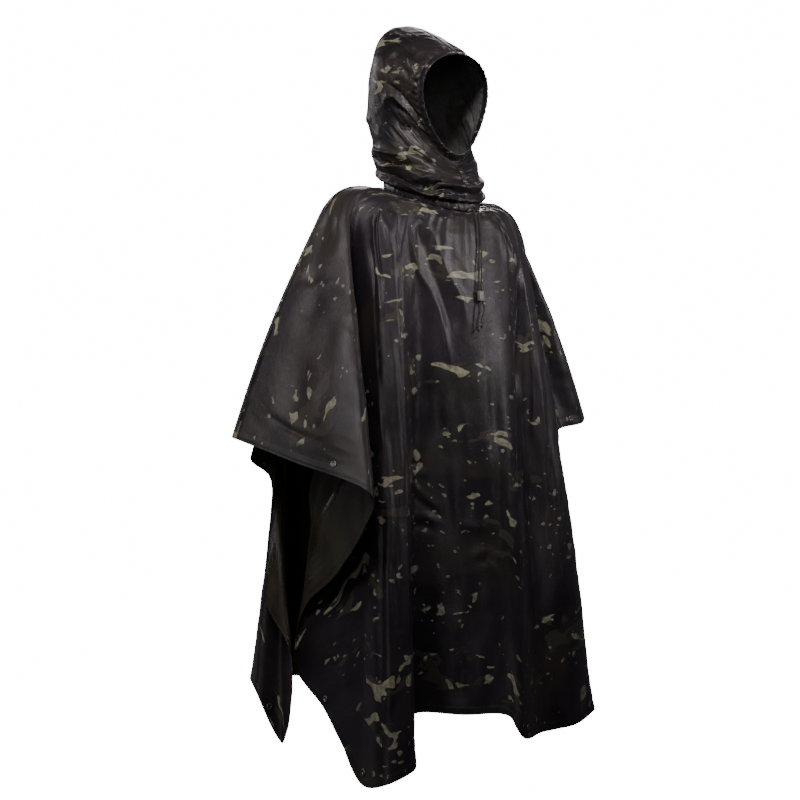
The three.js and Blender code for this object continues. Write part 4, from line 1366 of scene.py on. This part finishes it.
# %% Places of the fittings
# node, panel, place among the fold lines, share along them
SNAPS = [
    ("snap_sleeve_right", "front", 1.45, 0.968), ("snap_flap_right", "front", 2.75, 0.972),
    ("snap_side_right_upper", "front", 5.05, 0.975), ("snap_side_right_lower", "front", 7.1, 0.982),
    ("snap_side_left_lower", "front", 20.05, 0.975), ("snap_side_left_upper", "front", 22.1, 0.975),
    ("snap_flap_left", "front", 24.2, 0.972), ("snap_sleeve_left", "front", 26.6, 0.968),
    ("snap_back_right_upper", "back", 2.6, 0.972), ("snap_back_right_lower", "back", 5.1, 0.975),
    ("snap_back_left_lower", "back", 23.1, 0.975), ("snap_back_left_upper", "back", 24.6, 0.972),
]
EYELETS = [
    ("grommet_front_right", "front", 9.2, 0.982), ("grommet_front_middle", "front", 15.3, 0.982),
    ("grommet_front_left", "front", 18.85, 0.978), ("grommet_back_right", "back", 7.5, 0.978),
    ("grommet_back_middle", "back", 14.5, 0.978), ("grommet_back_left", "back", 20.6, 0.978),
]

# %% Turn a fitting


def standing(place, normal):
    """The transform that stands a turned shape at a place, with its axis along the normal."""
    return Matrix.Translation(place) @ Vector((0, 0, 1)).rotation_difference(normal).to_matrix().to_4x4()


def untagged(bm):
    """The faces that aren't tagged as done yet, and their vertices."""
    faces = [face for face in bm.faces if not face.tag]
    return faces, list(dict.fromkeys(vert for face in faces for vert in face.verts))


def turned(bm, profile, place, normal, height):
    """Spins a profile into a closed body at a place, with its axis along the normal."""
    closed = profile[0][0] > 0
    verts = [bm.verts.new((r * MM, 0, (z - height / 2) * MM)) for r, z in profile]
    edges = [bm.edges.new(pair) for pair in zip(verts, verts[1:])]
    if closed:
        edges.append(bm.edges.new((verts[-1], verts[0])))
    full_turn = {"angle": 2 * math.pi, "steps": SPIN_STEPS, "axis": (0, 0, 1), "cent": (0, 0, 0)}
    bmesh.ops.spin(bm, geom=verts + edges, use_merge=True, **full_turn)
    _, made = untagged(bm)
    bmesh.ops.remove_doubles(bm, verts=made, dist=0.000005)
    fresh, moved = untagged(bm)
    bmesh.ops.recalc_face_normals(bm, faces=fresh)
    bmesh.ops.transform(bm, matrix=standing(place, normal), verts=moved)
    for face in fresh:
        face.tag = True


def fittings(name, rows, profile, height, *materials):
    bm = bmesh.new()
    for node, panel_name, line, along in rows:
        panel = front_panel if panel_name == "front" else back_panel
        low, high = (Vector(corner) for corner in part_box(node))
        across = panel.surface(line + 0.01, along) - panel.surface(line - 0.01, along)
        down = panel.surface(line, along + 0.01) - panel.surface(line, along)
        normal = down.cross(across).normalized() * -panel.facing
        turned(bm, profile, (low + high) / 2, normal, height)
        if profile[0][0] > 0:
            # The disc that fills the hole is painted shade.
            hole = bmesh.ops.create_circle(bm, cap_ends=True, segments=SPIN_STEPS, radius=HOLE_RADIUS * MM)
            place = (low + high) / 2 - normal * (height / 2 - HOLE_DEPTH) * MM
            bmesh.ops.transform(bm, matrix=standing(place, normal), verts=hole["verts"])
            for face in {face for vert in hole["verts"] for face in vert.link_faces}:
                face.material_index = 1
                face.tag = True
    piece = new_object(name, bm, *materials)
    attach(piece, BODY)
    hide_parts(*(row[0] for row in rows))
    print(name, len(rows), "faces", len(piece.data.polygons))


# %% Build the snaps and eyelets
fittings("press_studs", SNAPS, SNAP_PROFILE, 2.0, blackened)
fittings("hem_eyelets", EYELETS, EYELET_PROFILE, 1.6, blackened, hole_painted_shade)
